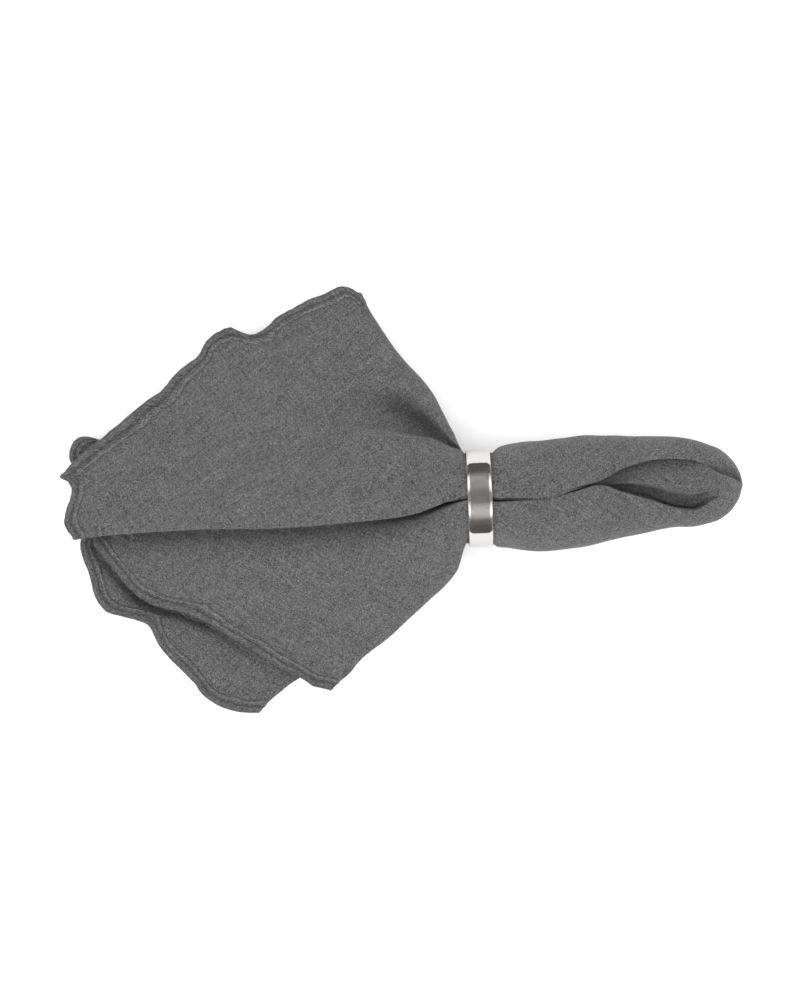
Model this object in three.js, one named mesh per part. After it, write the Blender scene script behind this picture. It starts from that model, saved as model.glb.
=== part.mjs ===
// Cloth napkin in a ring, lying on a table.
// A square linen cloth is held at its middle. The middle is drawn up through a plain metal ring
// and makes the closed end. The four edges fan out on the other side of the ring.
// Millimetres. +X runs from the fan to the closed end, +Z is up, and the table is at z = 0.

import * as THREE from 'three';

// Driving dimensions of the ring, a plain band with slightly rounded edges.
const RING_OUTER_DIAMETER = 45;
const RING_WALL = 1.2;
const RING_WIDTH = 11.5;
const RING_CENTRE_X = 35.2;
const RING_CENTRE_Y = 1.1;
const RING_TURN_DEGREES = 2.6;
const RING_SEGMENTS = 64;
const RING_EDGE_RADIUS = 0.45;

// Driving dimensions of the cloth.
const CLOTH_THICKNESS = 1.0;
const HEM_THICKNESS = 1.3;
const LAYER_PITCH = 2.0;
const CLOTH_TO_RING = 0.4;
const CLOTH_FREE_OF_RING_AFTER = 1.2;

// A deep valley is a slot of this width between two folds. Its mouth is rounded over a depth and an angle.
// A valley shallower than the fading depth turns little by little into a low dent with a wide mouth.
const SLOT_WIDTH = 2.1;
const MOUTH_ROUNDING = 0.8;
const MOUTH_ROUNDING_DEGREES = 4;
const FADING_DEPTH = 3;
const FADED_HALF_WIDTH = 0.8;
const FADED_MOUTH_SPREAD = 2;

// A doubled edge of the bundle is rounded over this angle to each side.
// A lip of the tuck starts to turn in over a smaller angle, and its ledge lies below its edge.
const EDGE_DEGREES = 5;
const LIP_DEGREES = { before: 4, after: 1, ledge: 2.5 };
const LIP_TURN_IN = 0.45;

// Where the tuck of the closed end opens, its crease runs under the lower lip and gets wider.
const TUCK_CREASE = { behind: 2.8, behindPerDegree: 0.1, openHalfWidth: 2.2, openAtDegrees: 50 };

// Half the width of a shallow crease at the hem.
const CREASE_SPREAD = 1.2;

const ARC_STEPS = 8;

const ringApothem = (RING_OUTER_DIAMETER / 2) * Math.cos(Math.PI / RING_SEGMENTS);
const ringCentreZ = ringApothem;
const bundleRadius = RING_OUTER_DIAMETER / 2 - RING_WALL - CLOTH_TO_RING - CLOTH_THICKNESS / 2;
const fanStartX = RING_CENTRE_X - RING_WIDTH / 2 - CLOTH_FREE_OF_RING_AFTER;
const tipStartX = RING_CENTRE_X + RING_WIDTH / 2 + CLOTH_FREE_OF_RING_AFTER;

// The cloth's folds in their order round the bundle, seen from the fan.
// angle: the fold's place in the ring, from the bundle's centre, 0 degrees at +Y and 90 at +Z.
// bottom: how far a valley stays from the bundle's centre, and null for a fold that points out.
// x, y and level: its place at the hem, level counted in layers from the table.
// turn: the way a doubled fold points at the hem, 1 towards +Y, -1 towards -Y, 0 where the cloth is flat.
// sway and lift: how far the fold line bows to +Y and up between the ring and the hem.
// fade: the part of the fan's length after which a valley is gone, 0 where it lasts to the hem.
// reach: how far a valley runs from the ring into the closed end.
const FOLDS = table(
  ['name', 'kind', 'angle', 'bottom', 'x', 'y', 'level', 'turn', 'sway', 'lift', 'fade', 'reach'],
  [
    ['rightInnerGusset', 'valley', -16, 5.5, -134, 7, 3.5, -1, 2, 0, 0, 55],
    ['upperSide', 'peak', 0, null, -19, 94.8, 4.7, 1, 3, 0, 0, 0],
    ['stripValley', 'crease', 17, 9, -68.4, 76.2, 5.8, 0, 5, -0.5, 0.5, 16],
    ['upperPuff', 'lip', 28, null, -138.6, 28.2, 5.9, 0, 5, 1, 0, 0],
    ['tuckEdge', 'lip', 86.5, null, -150.5, -17.2, 6.8, -1, -8.5, 2.5, 0, 0],
    ['tuckBottom', 'valley', 90, 3, -126, 12, 5.7, 1, -5, 0.5, 0, 115],
    ['lowerLip', 'lip', 93.5, null, -142.3, -16.3, 5.2, 0, -7, -2.5, 0, 0],
    ['lowerSide', 'peak', 172, null, -32.8, -86.2, 4.8, -1, -7, 1, 0, 0],
    ['leftInnerGusset', 'valley', 192, 5.5, -143, -9, 3.6, 1, -2, 0.5, 0, 75],
    ['lowerCorner', 'peak', 210, null, -67, -95.6, 2.5, -1, -6, -1, 0, 0],
    ['leftUnderValley', 'valley', 230, 6, -131, -25, 1.5, 1, -2, -1, 0, 55],
    ['leftUnderside', 'peak', 248, null, -54, -74, 0.5, -1, -4, -1.5, 0, 0],
    ['bottomValley', 'valley', 270, 8, -129, -6, 0, 0, 0, 0, 0.5, 40],
    ['rightUnderside', 'peak', 290, null, -42, 74, 0.5, 1, 4, -1.5, 0, 0],
    ['rightUnderValley', 'valley', 308, 6, -123, 14, 1.5, -1, 2, -1, 0, 50],
    ['upperUnderside', 'peak', 324, null, -33, 83, 2.5, 1, 4, 0, 0, 0],
  ],
);

// Hem points that show between two folds, named after the fold that they follow.
// Where the hem is hidden under other layers, the number of points and how many layers its middle arches up.
const HEM_POINTS = {
  rightInnerGusset: table(['x', 'y', 'level'], [
    [-144, 14, 3.9], [-151.3, 24, 4], [-147.8, 29.6, 4], [-143, 29.6, 4], [-100, 50, 4.1], [-58, 73, 4.2],
  ]),
  upperSide: table(['x', 'y', 'level'], [
    [-27.1, 97.1, 5.3], [-35.3, 94.8, 5.5], [-54.2, 86.1, 5.6],
  ]),
  stripValley: table(['x', 'y', 'level'], [
    [-79, 78.4, 5.9], [-89.5, 72.7, 5.7], [-93.6, 65.9, 5.6], [-110.6, 50.3, 5.8],
  ]),
  upperPuff: table(['x', 'y', 'level'], [
    [-155.8, 11.2, 6.4], [-151.9, 6.7, 6.4], [-152.6, 0.2, 6.6], [-155.1, -9.9, 6.9],
  ]),
  tuckEdge: { count: 2, arch: 0 },
  tuckBottom: { count: 2, arch: 0 },
  lowerLip: table(['x', 'y', 'level'], [
    [-135.4, -26.9, 5.3], [-121.2, -42.9, 5.6], [-112.5, -48, 5.7], [-100.1, -50.7, 5.5],
    [-88.6, -55.8, 5.4], [-73.9, -64.9, 5.4], [-48.2, -80.6, 5.4],
  ]),
  lowerSide: { count: 4, arch: 0.5 },
  leftInnerGusset: table(['x', 'y', 'level'], [
    [-147.9, -19, 2.8], [-142.7, -35.1, 2.6], [-137.7, -48.9, 2.7], [-123.9, -53.9, 3], [-116.6, -56.7, 3],
    [-111.5, -65.9, 2.6], [-96.4, -81.5, 2.7], [-85.4, -93, 2.9],
  ]),
  lowerCorner: { count: 3, arch: 0.1 },
  leftUnderValley: { count: 3, arch: -0.3 },
  leftUnderside: { count: 3, arch: 0 },
  bottomValley: { count: 3, arch: 0 },
  rightUnderside: { count: 3, arch: -0.3 },
  rightUnderValley: { count: 3, arch: 0.1 },
  upperUnderside: { count: 3, arch: 0.2 },
};

// Sections of the closed end, from the ring to its rounded tip.
// The centre and half sizes are of the section, upperLip and lowerLip are the tuck's two edges in degrees,
// ledge and floor are its depths beside the upper edge and at its crease, as parts of the half size.
const TIP_SECTIONS = table(
  ['x', 'centreY', 'halfWidth', 'centreZ', 'halfHeight', 'upperLip', 'lowerLip', 'ledge', 'floor'],
  [
    [tipStartX, RING_CENTRE_Y, bundleRadius, ringCentreZ, bundleRadius, 87, 93, 0.85, 0.15],
    [47, 2.0, 22.8, 21.4, 20.6, 87.5, 92, 0.85, 0.2],
    [54, 2.3, 24.6, 19.7, 19.2, 88, 91.5, 0.85, 0.25],
    [64, 2.1, 25.1, 18, 17.6, 88.5, 92, 0.85, 0.3],
    [78.5, 3.8, 25.2, 16.2, 16, 84, 88, 0.86, 0.35],
    [91, 4.9, 24.1, 15, 14.8, 77, 86, 0.86, 0.4],
    [101, 6.2, 23, 14.4, 14.2, 68, 94, 0.86, 0.42],
    [113, 7.4, 21.7, 13.9, 13.7, 62, 107, 0.86, 0.45],
    [126, 8.6, 20.1, 13.4, 13.2, 61, 121, 0.86, 0.5],
    [137, 8.3, 18, 12.9, 12.4, 60, 130, 0.88, 0.7],
    [145.5, 8.2, 15.2, 12.3, 10.8, 62, 132, 0.93, 0.93],
    [151.5, 8, 10.6, 11.8, 8, 64, 128, 0.98, 0.99],
    [154.8, 7, 5.4, 11.4, 4.4, 66, 120, 1, 1],
  ],
);
const TIP_END = { x: 156.3, y: 6.8, z: 11.2 };

// Where the cloth leaves the ring it swells sideways at once, over the first part of the fan's length.
const EXIT_SWELL = 0.22;
const EXIT_PART = 0.08;

// The cloth falls from the ring, at 0, to the hem, at 1. These are the shares of the part of the way,
// of its square and of its cube.
const FALL = { first: 0.9, second: 0.95, third: -0.85 };

// The parts of the fan's length at which its sections stand. The hem is as wide as the last two steps.
const FAN_STATIONS = [0, 0.05, 0.11, 0.18, 0.27, 0.37, 0.48, 0.6, 0.72, 0.84, 0.93, 0.965, 1];

// Rows of numbers become objects with named fields.
function table(columns, rows) {
  return rows.map((row) => Object.fromEntries(columns.map((column, i) => [column, row[i]])));
}

function mix(a, b, t) {
  return a + (b - a) * t;
}

function smooth(t) {
  const s = Math.min(Math.max(t, 0), 1);
  return s * s * (3 - 2 * s);
}

// A point of the section from its distance along a fold's direction and to the side of it.
function polar(degrees, radius, side = 0) {
  const angle = THREE.MathUtils.degToRad(degrees);
  const along = { y: Math.cos(angle), z: Math.sin(angle) };
  return new THREE.Vector2(radius * along.y - side * along.z, radius * along.z + side * along.y);
}

// The point at a part of a polyline's length.
function along(points, part) {
  const lengths = points.slice(1).map((point, i) => point.distanceTo(points[i]));
  let left = part * lengths.reduce((sum, length) => sum + length, 0);
  for (let i = 0; i < lengths.length; i += 1) {
    if (left <= lengths[i] || i === lengths.length - 1) {
      return points[i].clone().lerp(points[i + 1], lengths[i] > 0 ? left / lengths[i] : 0);
    }
    left -= lengths[i];
  }
  return points.at(-1).clone();
}

// How many points of the cloth lie between a fold and the next one.
function pointsAfter(fold) {
  return HEM_POINTS[fold.name].length ?? HEM_POINTS[fold.name].count;
}

function dips(fold) {
  return fold.kind === 'valley' || fold.kind === 'crease';
}

// How far a valley is from closed: 1 where it is a deep slot, down to 0 where it has faded out.
function slotShare(fold, shape) {
  return Math.min(1, (bundleRadius - shape.bottom(fold)) / FADING_DEPTH);
}

// The points round a fold in a section of the gathered cloth.
function foldPoints(fold, shape) {
  if (dips(fold)) {
    const depth = shape.bottom(fold);
    const share = slotShare(fold, shape);
    const isTuck = fold.name === 'tuckBottom';
    const half = isTuck ? shape.creaseHalf : mix(FADED_HALF_WIDTH, SLOT_WIDTH / 2, share);
    const angle = isTuck ? shape.creaseAngle : fold.angle;
    const deepest = depth - share * SLOT_WIDTH / 2;
    return [polar(angle, depth, -half), polar(angle, deepest), polar(angle, depth, half)];
  }
  const angle = fold.kind === 'lip' ? shape.lipAngle(fold) : fold.angle;
  if (fold.turn === 0) return [polar(angle, bundleRadius)];
  if (fold.kind === 'lip') {
    const tucked = mix(1, shape.ledge, LIP_TURN_IN) * bundleRadius;
    return [
      polar(angle - LIP_DEGREES.before, bundleRadius),
      polar(angle, bundleRadius),
      polar(angle + LIP_DEGREES.after, tucked),
    ];
  }
  return [-EDGE_DEGREES, 0, EDGE_DEGREES].map((spread) => polar(angle + spread, bundleRadius));
}

// The rounded mouth of a valley, on the side where the cloth leaves it (1) or comes to it (-1).
function mouthPoint(fold, shape, side) {
  const share = slotShare(fold, shape);
  const half = SLOT_WIDTH / 2 + FADED_MOUTH_SPREAD * (1 - share);
  return polar(fold.angle, bundleRadius - MOUTH_ROUNDING * share, side * half);
}

// The way through the section from one fold to the next.
// A valley has a wall and a rounded mouth, and an arc joins the mouths.
// A crease rises straight to the next lip.
function wallPath(from, to, fromPoints, toPoints, shape) {
  const start = fromPoints.at(-1);
  const end = toPoints[0];
  if (dips(from) && to.kind === 'lip') return [start, end];
  if (from.kind === 'lip' && dips(to)) {
    return [start, polar(shape.lipAngle(from) + LIP_DEGREES.ledge, bundleRadius * shape.ledge), end];
  }
  const head = dips(from) ? [start, mouthPoint(from, shape, 1)] : [start];
  const tail = dips(to) ? [mouthPoint(to, shape, -1), end] : [end];
  const rounding = THREE.MathUtils.degToRad(MOUTH_ROUNDING_DEGREES);
  const startAngle = head.at(-1).angle();
  const halfTurnMore = THREE.MathUtils.euclideanModulo(tail[0].angle() - startAngle + Math.PI, 2 * Math.PI);
  const arcFrom = startAngle + (dips(from) ? rounding : 0);
  const arcTo = startAngle + halfTurnMore - Math.PI - (dips(to) ? rounding : 0);
  if (arcTo <= arcFrom) return [...head, ...tail];
  const arc = [];
  for (let i = 0; i <= ARC_STEPS; i += 1) {
    const angle = mix(arcFrom, arcTo, i / ARC_STEPS);
    arc.push(new THREE.Vector2(Math.cos(angle), Math.sin(angle)).multiplyScalar(bundleRadius));
  }
  return [...head, ...arc, ...tail];
}

// All points of one section of the gathered cloth, as (y, z) from the bundle's centre.
function gatheredSection(shape) {
  const points = [];
  const groups = FOLDS.map((fold) => foldPoints(fold, shape));
  FOLDS.forEach((fold, i) => {
    const next = (i + 1) % FOLDS.length;
    points.push(...groups[i]);
    const path = wallPath(fold, FOLDS[next], groups[i], groups[next], shape);
    const count = pointsAfter(fold);
    for (let k = 1; k <= count; k += 1) points.push(along(path, k / (count + 1)));
  });
  return points;
}

const ringShape = {
  bottom: (fold) => fold.bottom,
  lipAngle: (fold) => fold.angle,
  creaseAngle: 90,
  creaseHalf: SLOT_WIDTH / 2,
  ledge: 0.85,
};

// Whether the cloth climbs or drops by a layer where it doubles back at a fold: it climbs on the +Y side,
// up to the tuck's upper lip, and drops on the other side.
function foldRise(fold) {
  return Math.cos(THREE.MathUtils.degToRad(fold.angle)) > 0.2 ? 1 : -1;
}

// The points of one fold at the hem.
function hemFold(fold) {
  const centre = new THREE.Vector3(fold.x, fold.y, fold.level * LAYER_PITCH);
  const ray = new THREE.Vector2(fold.x - fanStartX, fold.y - RING_CENTRE_Y).normalize();
  const across = new THREE.Vector3(ray.y, -ray.x, 0);
  if (fold.turn === 0 && !dips(fold)) return [centre];
  if (fold.turn === 0) {
    const order = fold.angle < 180 ? -1 : 1;
    const shifts = [-CREASE_SPREAD, 0, CREASE_SPREAD];
    return shifts.map((shift) => centre.clone().addScaledVector(across, shift * order));
  }
  const half = foldRise(fold) * LAYER_PITCH / 2;
  return [
    centre.clone().setZ(centre.z - half),
    centre.clone().addScaledVector(across, fold.turn * LAYER_PITCH / 2),
    centre.clone().setZ(centre.z + half),
  ];
}

// A point of the hem between two folds: one that shows, or one on a hidden stretch.
function hemPlace(stretch, k, part, start, end) {
  if (stretch.length) {
    const row = stretch[k - 1];
    return new THREE.Vector3(row.x, row.y, row.level * LAYER_PITCH);
  }
  const place = start.clone().lerp(end, part);
  place.z = Math.max(place.z + stretch.arch * LAYER_PITCH * Math.sin(Math.PI * part), 0);
  return place;
}

// The hem as a closed line with as many points as a section.
// Each point also carries how far its line bows sideways and up on its way from the ring.
function hemLine() {
  const groups = FOLDS.map(hemFold);
  const points = [];
  FOLDS.forEach((fold, i) => {
    const next = (i + 1) % FOLDS.length;
    const start = groups[i].at(-1);
    const end = groups[next][0];
    groups[i].forEach((place) => points.push({ place, sway: fold.sway, lift: fold.lift }));
    const count = pointsAfter(fold);
    for (let k = 1; k <= count; k += 1) {
      const part = k / (count + 1);
      points.push({
        place: hemPlace(HEM_POINTS[fold.name], k, part, start, end),
        sway: mix(fold.sway, FOLDS[next].sway, part),
        lift: mix(fold.lift, FOLDS[next].lift, part),
      });
    }
  });
  return points;
}

// One section of the fan, in the middle of the cloth's thickness.
// A fold line bows most, by its whole sway and lift, at a third of its way from the ring to the hem.
function fanStation(part, hem) {
  const fading = (fold) => mix(fold.bottom, bundleRadius, smooth(part / fold.fade));
  const shape = { ...ringShape, bottom: (fold) => (fold.fade > 0 ? fading(fold) : fold.bottom) };
  const bow = (27 / 4) * part * (1 - part) ** 2;
  const fall = FALL.first * part + FALL.second * part ** 2 + FALL.third * part ** 3;
  const swell = 1 + EXIT_SWELL * smooth(part / EXIT_PART);
  return gatheredSection(shape).map((point, i) => {
    const { place, sway, lift } = hem[i];
    return new THREE.Vector3(
      mix(fanStartX, place.x, part),
      mix(point.x * swell + RING_CENTRE_Y, place.y, part) + sway * bow,
      mix(point.y + ringCentreZ, place.z + CLOTH_THICKNESS / 2, fall) + lift * bow,
    );
  });
}

// One section of the closed end, in the middle of the cloth's thickness.
function tipStation(row) {
  const past = row.x - tipStartX;
  const gap = row.lowerLip - row.upperLip;
  const shape = {
    bottom: (fold) => (fold.name === 'tuckBottom'
      ? row.floor * bundleRadius
      : mix(fold.bottom, bundleRadius, smooth(past / fold.reach))),
    lipAngle: (fold) => ({ tuckEdge: row.upperLip, lowerLip: row.lowerLip })[fold.name] ?? fold.angle,
    creaseAngle: row.lowerLip - TUCK_CREASE.behind - TUCK_CREASE.behindPerDegree * gap,
    creaseHalf: mix(SLOT_WIDTH / 2, TUCK_CREASE.openHalfWidth, smooth(gap / TUCK_CREASE.openAtDegrees)),
    ledge: row.ledge,
  };
  return gatheredSection(shape).map((point) => new THREE.Vector3(
    row.x,
    row.centreY + point.x * row.halfWidth / bundleRadius,
    row.centreZ + point.y * row.halfHeight / bundleRadius,
  ));
}

// The closed skin of the cloth: outer and inner faces, a rim along the hem and a point at the closed end.
function napkinGeometry() {
  const hem = hemLine();
  const stations = [...FAN_STATIONS].reverse().map((part) => fanStation(part, hem));
  stations.push(...TIP_SECTIONS.map(tipStation));
  const lowest = CLOTH_THICKNESS / 2;
  stations.flat().forEach((point) => point.setZ(Math.max(point.z, lowest)));
  const count = stations[0].length;
  const rows = stations.length;
  const tip = new THREE.Vector3(TIP_END.x, TIP_END.y, TIP_END.z);
  const normals = stations.map((station, r) => station.map((point, i) => {
    const around = station[(i + 1) % count].clone().sub(station[(i + count - 1) % count]);
    const after = r + 1 < rows ? stations[r + 1][i] : tip;
    const before = stations[Math.max(r - 1, 0)][i];
    return after.clone().sub(before).cross(around).normalize().negate();
  }));
  const hemRows = FAN_STATIONS.filter((part) => part > 0.95).length;
  const positions = [];
  const addFace = (side) => stations.forEach((station, r) => station.forEach((point, i) => {
    const thickness = r < hemRows - 1 ? HEM_THICKNESS : CLOTH_THICKNESS;
    const placed = point.clone().addScaledVector(normals[r][i], side * thickness / 2);
    positions.push(placed.x, placed.y, Math.max(placed.z, 0));
  }));
  addFace(1);
  addFace(-1);
  const outerTip = positions.length / 3;
  positions.push(tip.x, tip.y, tip.z, tip.x - CLOTH_THICKNESS, tip.y, tip.z);
  const index = [];
  const quad = (a, b, c, d) => index.push(a, b, c, a, c, d);
  const outer = (r, i) => r * count + (i % count);
  const inner = (r, i) => rows * count + outer(r, i);
  for (let i = 0; i < count; i += 1) {
    for (let r = 0; r + 1 < rows; r += 1) {
      quad(outer(r, i), outer(r, i + 1), outer(r + 1, i + 1), outer(r + 1, i));
      quad(inner(r, i), inner(r + 1, i), inner(r + 1, i + 1), inner(r, i + 1));
    }
    quad(outer(0, i), inner(0, i), inner(0, i + 1), outer(0, i + 1));
    index.push(outer(rows - 1, i), outer(rows - 1, i + 1), outerTip);
    index.push(inner(rows - 1, i + 1), inner(rows - 1, i), outerTip + 1);
  }
  const geometry = new THREE.BufferGeometry();
  geometry.setAttribute('position', new THREE.Float32BufferAttribute(positions, 3));
  geometry.setIndex(index);
  geometry.computeVertexNormals();
  return geometry;
}

// The ring's band: a closed profile with rounded edges, turned about its axis.
function ringGeometry() {
  const outerRadius = RING_OUTER_DIAMETER / 2;
  const innerRadius = outerRadius - RING_WALL;
  const half = RING_WIDTH / 2;
  const r = RING_EDGE_RADIUS;
  const corners = [
    { x: outerRadius - r, y: half - r, from: 90 },
    { x: outerRadius - r, y: r - half, from: 0 },
    { x: innerRadius + r, y: r - half, from: -90 },
    { x: innerRadius + r, y: half - r, from: -180 },
  ];
  const profile = corners.flatMap((corner) => [0, -45, -90].map((turn) => {
    const angle = THREE.MathUtils.degToRad(corner.from + turn);
    return new THREE.Vector2(corner.x + r * Math.cos(angle), corner.y + r * Math.sin(angle));
  }));
  profile.push(profile[0].clone());
  return new THREE.LatheGeometry(profile.reverse(), RING_SEGMENTS);
}

const linen = new THREE.MeshStandardMaterial({ color: 0x666666, roughness: 0.95, metalness: 0 });
const polishedSteel = new THREE.MeshStandardMaterial({ color: 0xd8d5cf, roughness: 0.12, metalness: 1 });

const napkin = new THREE.Mesh(napkinGeometry(), linen);
napkin.name = 'napkin';

const ring = new THREE.Mesh(ringGeometry(), polishedSteel);
ring.name = 'ring';
const ringAxle = new THREE.Group();
ringAxle.rotation.z = THREE.MathUtils.degToRad(RING_TURN_DEGREES - 90);
ringAxle.position.set(RING_CENTRE_X, RING_CENTRE_Y, ringCentreZ);
ring.rotation.y = Math.PI / RING_SEGMENTS;
ringAxle.add(ring);

const group = new THREE.Group();
group.add(napkin, ringAxle);

export default group;
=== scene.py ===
"""A linen napkin drawn through a plain polished ring, lying on a pale table.

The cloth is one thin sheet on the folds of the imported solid. It is worked out in millimetres, from the
fold table and the sections below, and it becomes metres when its mesh is made.
+X runs from the fan to the closed end, +Y is up in the photograph, and the table is at z = 0.
"""

import math

import bpy
import numpy as np
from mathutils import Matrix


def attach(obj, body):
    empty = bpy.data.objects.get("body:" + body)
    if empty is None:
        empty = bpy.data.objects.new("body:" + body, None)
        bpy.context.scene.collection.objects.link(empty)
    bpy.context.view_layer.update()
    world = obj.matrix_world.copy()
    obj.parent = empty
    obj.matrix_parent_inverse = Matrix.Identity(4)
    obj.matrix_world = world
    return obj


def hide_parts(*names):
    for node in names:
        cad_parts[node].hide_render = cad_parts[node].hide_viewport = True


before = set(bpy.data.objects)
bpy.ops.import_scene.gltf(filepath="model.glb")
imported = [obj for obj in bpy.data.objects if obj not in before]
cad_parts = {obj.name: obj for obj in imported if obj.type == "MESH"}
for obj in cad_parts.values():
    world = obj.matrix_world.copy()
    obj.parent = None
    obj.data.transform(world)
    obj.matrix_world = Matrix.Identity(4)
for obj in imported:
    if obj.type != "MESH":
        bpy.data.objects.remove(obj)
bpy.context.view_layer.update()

MM = 0.001

# Driving dimensions, the same as the solids'.
RING_OUTER_DIAMETER = 45.0
RING_WALL = 1.2
RING_WIDTH = 11.1
RING_CENTRE_X = 35.2
RING_CENTRE_Y = 1.1
RING_TURN_DEGREES = 2.2
LAYER_PITCH = 2.0

# The sheet's middle lies this far inside the ring's bore.
CLOTH_TO_RING = 0.55
CLOTH_FREE_OF_RING_AFTER = 0.5

SLOT_WIDTH = 2.1
MOUTH_ROUNDING = 0.8
MOUTH_ROUNDING_DEGREES = 4
FADING_DEPTH = 3
FADED_HALF_WIDTH = 0.8
FADED_MOUTH_SPREAD = 2
EDGE_DEGREES = 5
LIP_DEGREES = {"before": 4, "before_when_sunk": 36}
LIP_TURN_IN = {"under": 0.35, "down": 0.45}
PANEL_BACK = {"across": 0.4, "up": 0.6, "least": 0.35}
CREASE_FOOT = [0.15, 0.82]
SHELF_SLOPE = 0.3
SHELF_FROM_WALL = 0.35
SHELF_UNTIL_PART = 0.13
LEDGE_AT_RING = 0.94
TUCK_CREASE = {"inside_lip": 1.0, "open_half_width": 1.8, "open_at_degrees": 50}
CREASE_SPREAD = 1.2
ARC_STEPS = 24

RING_CENTRE_Z = RING_OUTER_DIAMETER / 2
BUNDLE_RADIUS = RING_OUTER_DIAMETER / 2 - RING_WALL - CLOTH_TO_RING
FAN_START_X = RING_CENTRE_X - RING_WIDTH / 2 - CLOTH_FREE_OF_RING_AFTER
TIP_START_X = RING_CENTRE_X + RING_WIDTH / 2 + CLOTH_FREE_OF_RING_AFTER


def table(columns, *rows):
    """Rows of numbers as dictionaries with named fields."""
    names = columns.split()
    return [dict(zip(names, row)) for row in rows]


def between(rows, name, x):
    """A table's column at these x, between its rows."""
    return np.interp(x, [row["x"] for row in rows], [row[name] for row in rows])


# The cloth's folds in their order round the bundle, seen from the fan.
# angle: the fold's place in the ring, from the bundle's centre, 0 degrees at +Y and 90 at +Z.
# bottom: how far a valley stays from the bundle's centre, and None for a fold that points out.
# x, y and level: its place at the hem, level counted in layers from the table.
# turn: the way a doubled fold points at the hem, 1 towards +Y, -1 towards -Y, 0 where the cloth is flat.
# sway and lift: how far the fold line bows to +Y and up between the ring and the hem.
# fade: the part of the fan's length after which a valley is gone, 0 where it lasts to the hem.
# reach: how far a valley runs from the ring into the closed end.
# fine: how many steps the cloth takes from this fold to the next.
FOLDS = table(
    "name kind angle bottom x y level turn sway lift fade reach fine",
    ("right_inner_gusset", "valley", -16, 3.5, -134, 7, 3.5, -1, -22, 3.5, 0, 108, 26),
    ("upper_side", "peak", 0, None, -20.4, 93.7, 4.7, 1, 1.2, 0, 0, 0, 36),
    ("strip_edge", "lip", 21, None, -68.4, 76.2, 5.8, 0, 2.5, -0.5, 0, 0, 54),
    ("upper_puff", "lip", 31, None, -138.6, 28.2, 5.9, 0, 9, 1, 0, 0, 48),
    ("tuck_edge", "lip", 88, None, -150.5, -16.8, 6.8, -1, -6.8, 2.5, 0, 0, 42),
    ("tuck_bottom", "valley", 90, 6, -126, 12, 5.7, 1, -5, 0.5, 0, 115, 14),
    ("lower_lip", "lip", 92.1, None, -142.3, -16.3, 5.2, 0, -7.1, -2.5, 0, 0, 72),
    ("lower_side", "peak", 172, None, -32.8, -86.2, 4.8, -1, -5.6, 1, 0, 0, 16),
    ("left_inner_gusset", "valley", 192, 3.5, -143, -9, 3.6, 1, 22, -3.5, 0, 108, 46),
    ("lower_corner", "peak", 210, None, -67, -95.6, 2.5, -1, -6, -1, 0, 0, 10),
    ("left_under_valley", "valley", 230, 3.5, -131, -25, 1.5, 1, -2, -1, 0, 105, 10),
    ("left_underside", "peak", 248, None, -54, -74, 0.5, -1, -4, -1.5, 0, 0, 10),
    ("bottom_valley", "valley", 270, 4, -129, -6, 0, 0, 0, 0, 0.5, 100, 10),
    ("right_underside", "peak", 290, None, -42, 74, 0.5, 1, 4, -1.5, 0, 0, 10),
    ("right_under_valley", "valley", 308, 3.5, -123, 14, 1.5, -1, 2, -1, 0, 100, 10),
    ("upper_underside", "peak", 324, None, -33, 83, 2.5, 1, 4, 0, 0, 0, 10),
)

# Hem points that show between two folds, named after the fold that they follow.
# Where the hem is hidden under other layers, the number of points and how many layers its middle arches up.
HEM_POINTS = {
    "right_inner_gusset": table(
        "x y level",
        (-146, 12, 3.7), (-152.4, 18.5, 4), (-151.6, 25, 4.2), (-147.8, 29.4, 4.2),
        (-143, 28, 4), (-136.5, 26.8, 3.9), (-120, 37, 3.9), (-95, 52, 4.1), (-58, 73, 4.2),
    ),
    "upper_side": table("x y level", (-27.1, 97.1, 5.3), (-35.3, 94.8, 5.5), (-54.2, 86.1, 5.6)),
    "strip_edge": table(
        "x y level", (-79, 78.4, 5.9), (-89.5, 72.7, 5.7), (-93.6, 65.9, 5.6), (-110.6, 50.3, 5.8)
    ),
    "upper_puff": table(
        "x y level",
        (-153.6, 13.7, 6.3), (-156.9, 10.9, 6.4), (-154.2, 9.4, 6.4), (-151.9, 6.7, 6.4), (-152.6, 0.2, 6.6),
        (-155.1, -9.9, 6.9),
    ),
    "tuck_edge": {"count": 2, "arch": 0},
    "tuck_bottom": {"count": 2, "arch": 0},
    "lower_lip": table(
        "x y level",
        (-135.4, -26.9, 5.7), (-121.2, -42.9, 6.3), (-112.5, -48, 6.6), (-100.1, -50.7, 6.4),
        (-88.6, -55.8, 6.1), (-73.9, -64.9, 5.7), (-48.2, -80.6, 5.5),
    ),
    "lower_side": {"count": 4, "arch": 0.5},
    "left_inner_gusset": table(
        "x y level",
        (-147.9, -19, 2.8), (-142.7, -35.1, 2.6), (-137.7, -48.9, 2.7), (-123.9, -53.9, 3),
        (-116.6, -56.7, 3), (-111.5, -65.9, 2.6), (-96.4, -81.5, 2.7), (-85.4, -93, 2.9),
    ),
    "lower_corner": {"count": 3, "arch": 0.1},
    "left_under_valley": {"count": 3, "arch": -0.3},
    "left_underside": {"count": 3, "arch": 0},
    "bottom_valley": {"count": 3, "arch": 0},
    "right_underside": {"count": 3, "arch": -0.3},
    "right_under_valley": {"count": 3, "arch": 0.1},
    "upper_underside": {"count": 3, "arch": 0.2},
}

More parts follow.
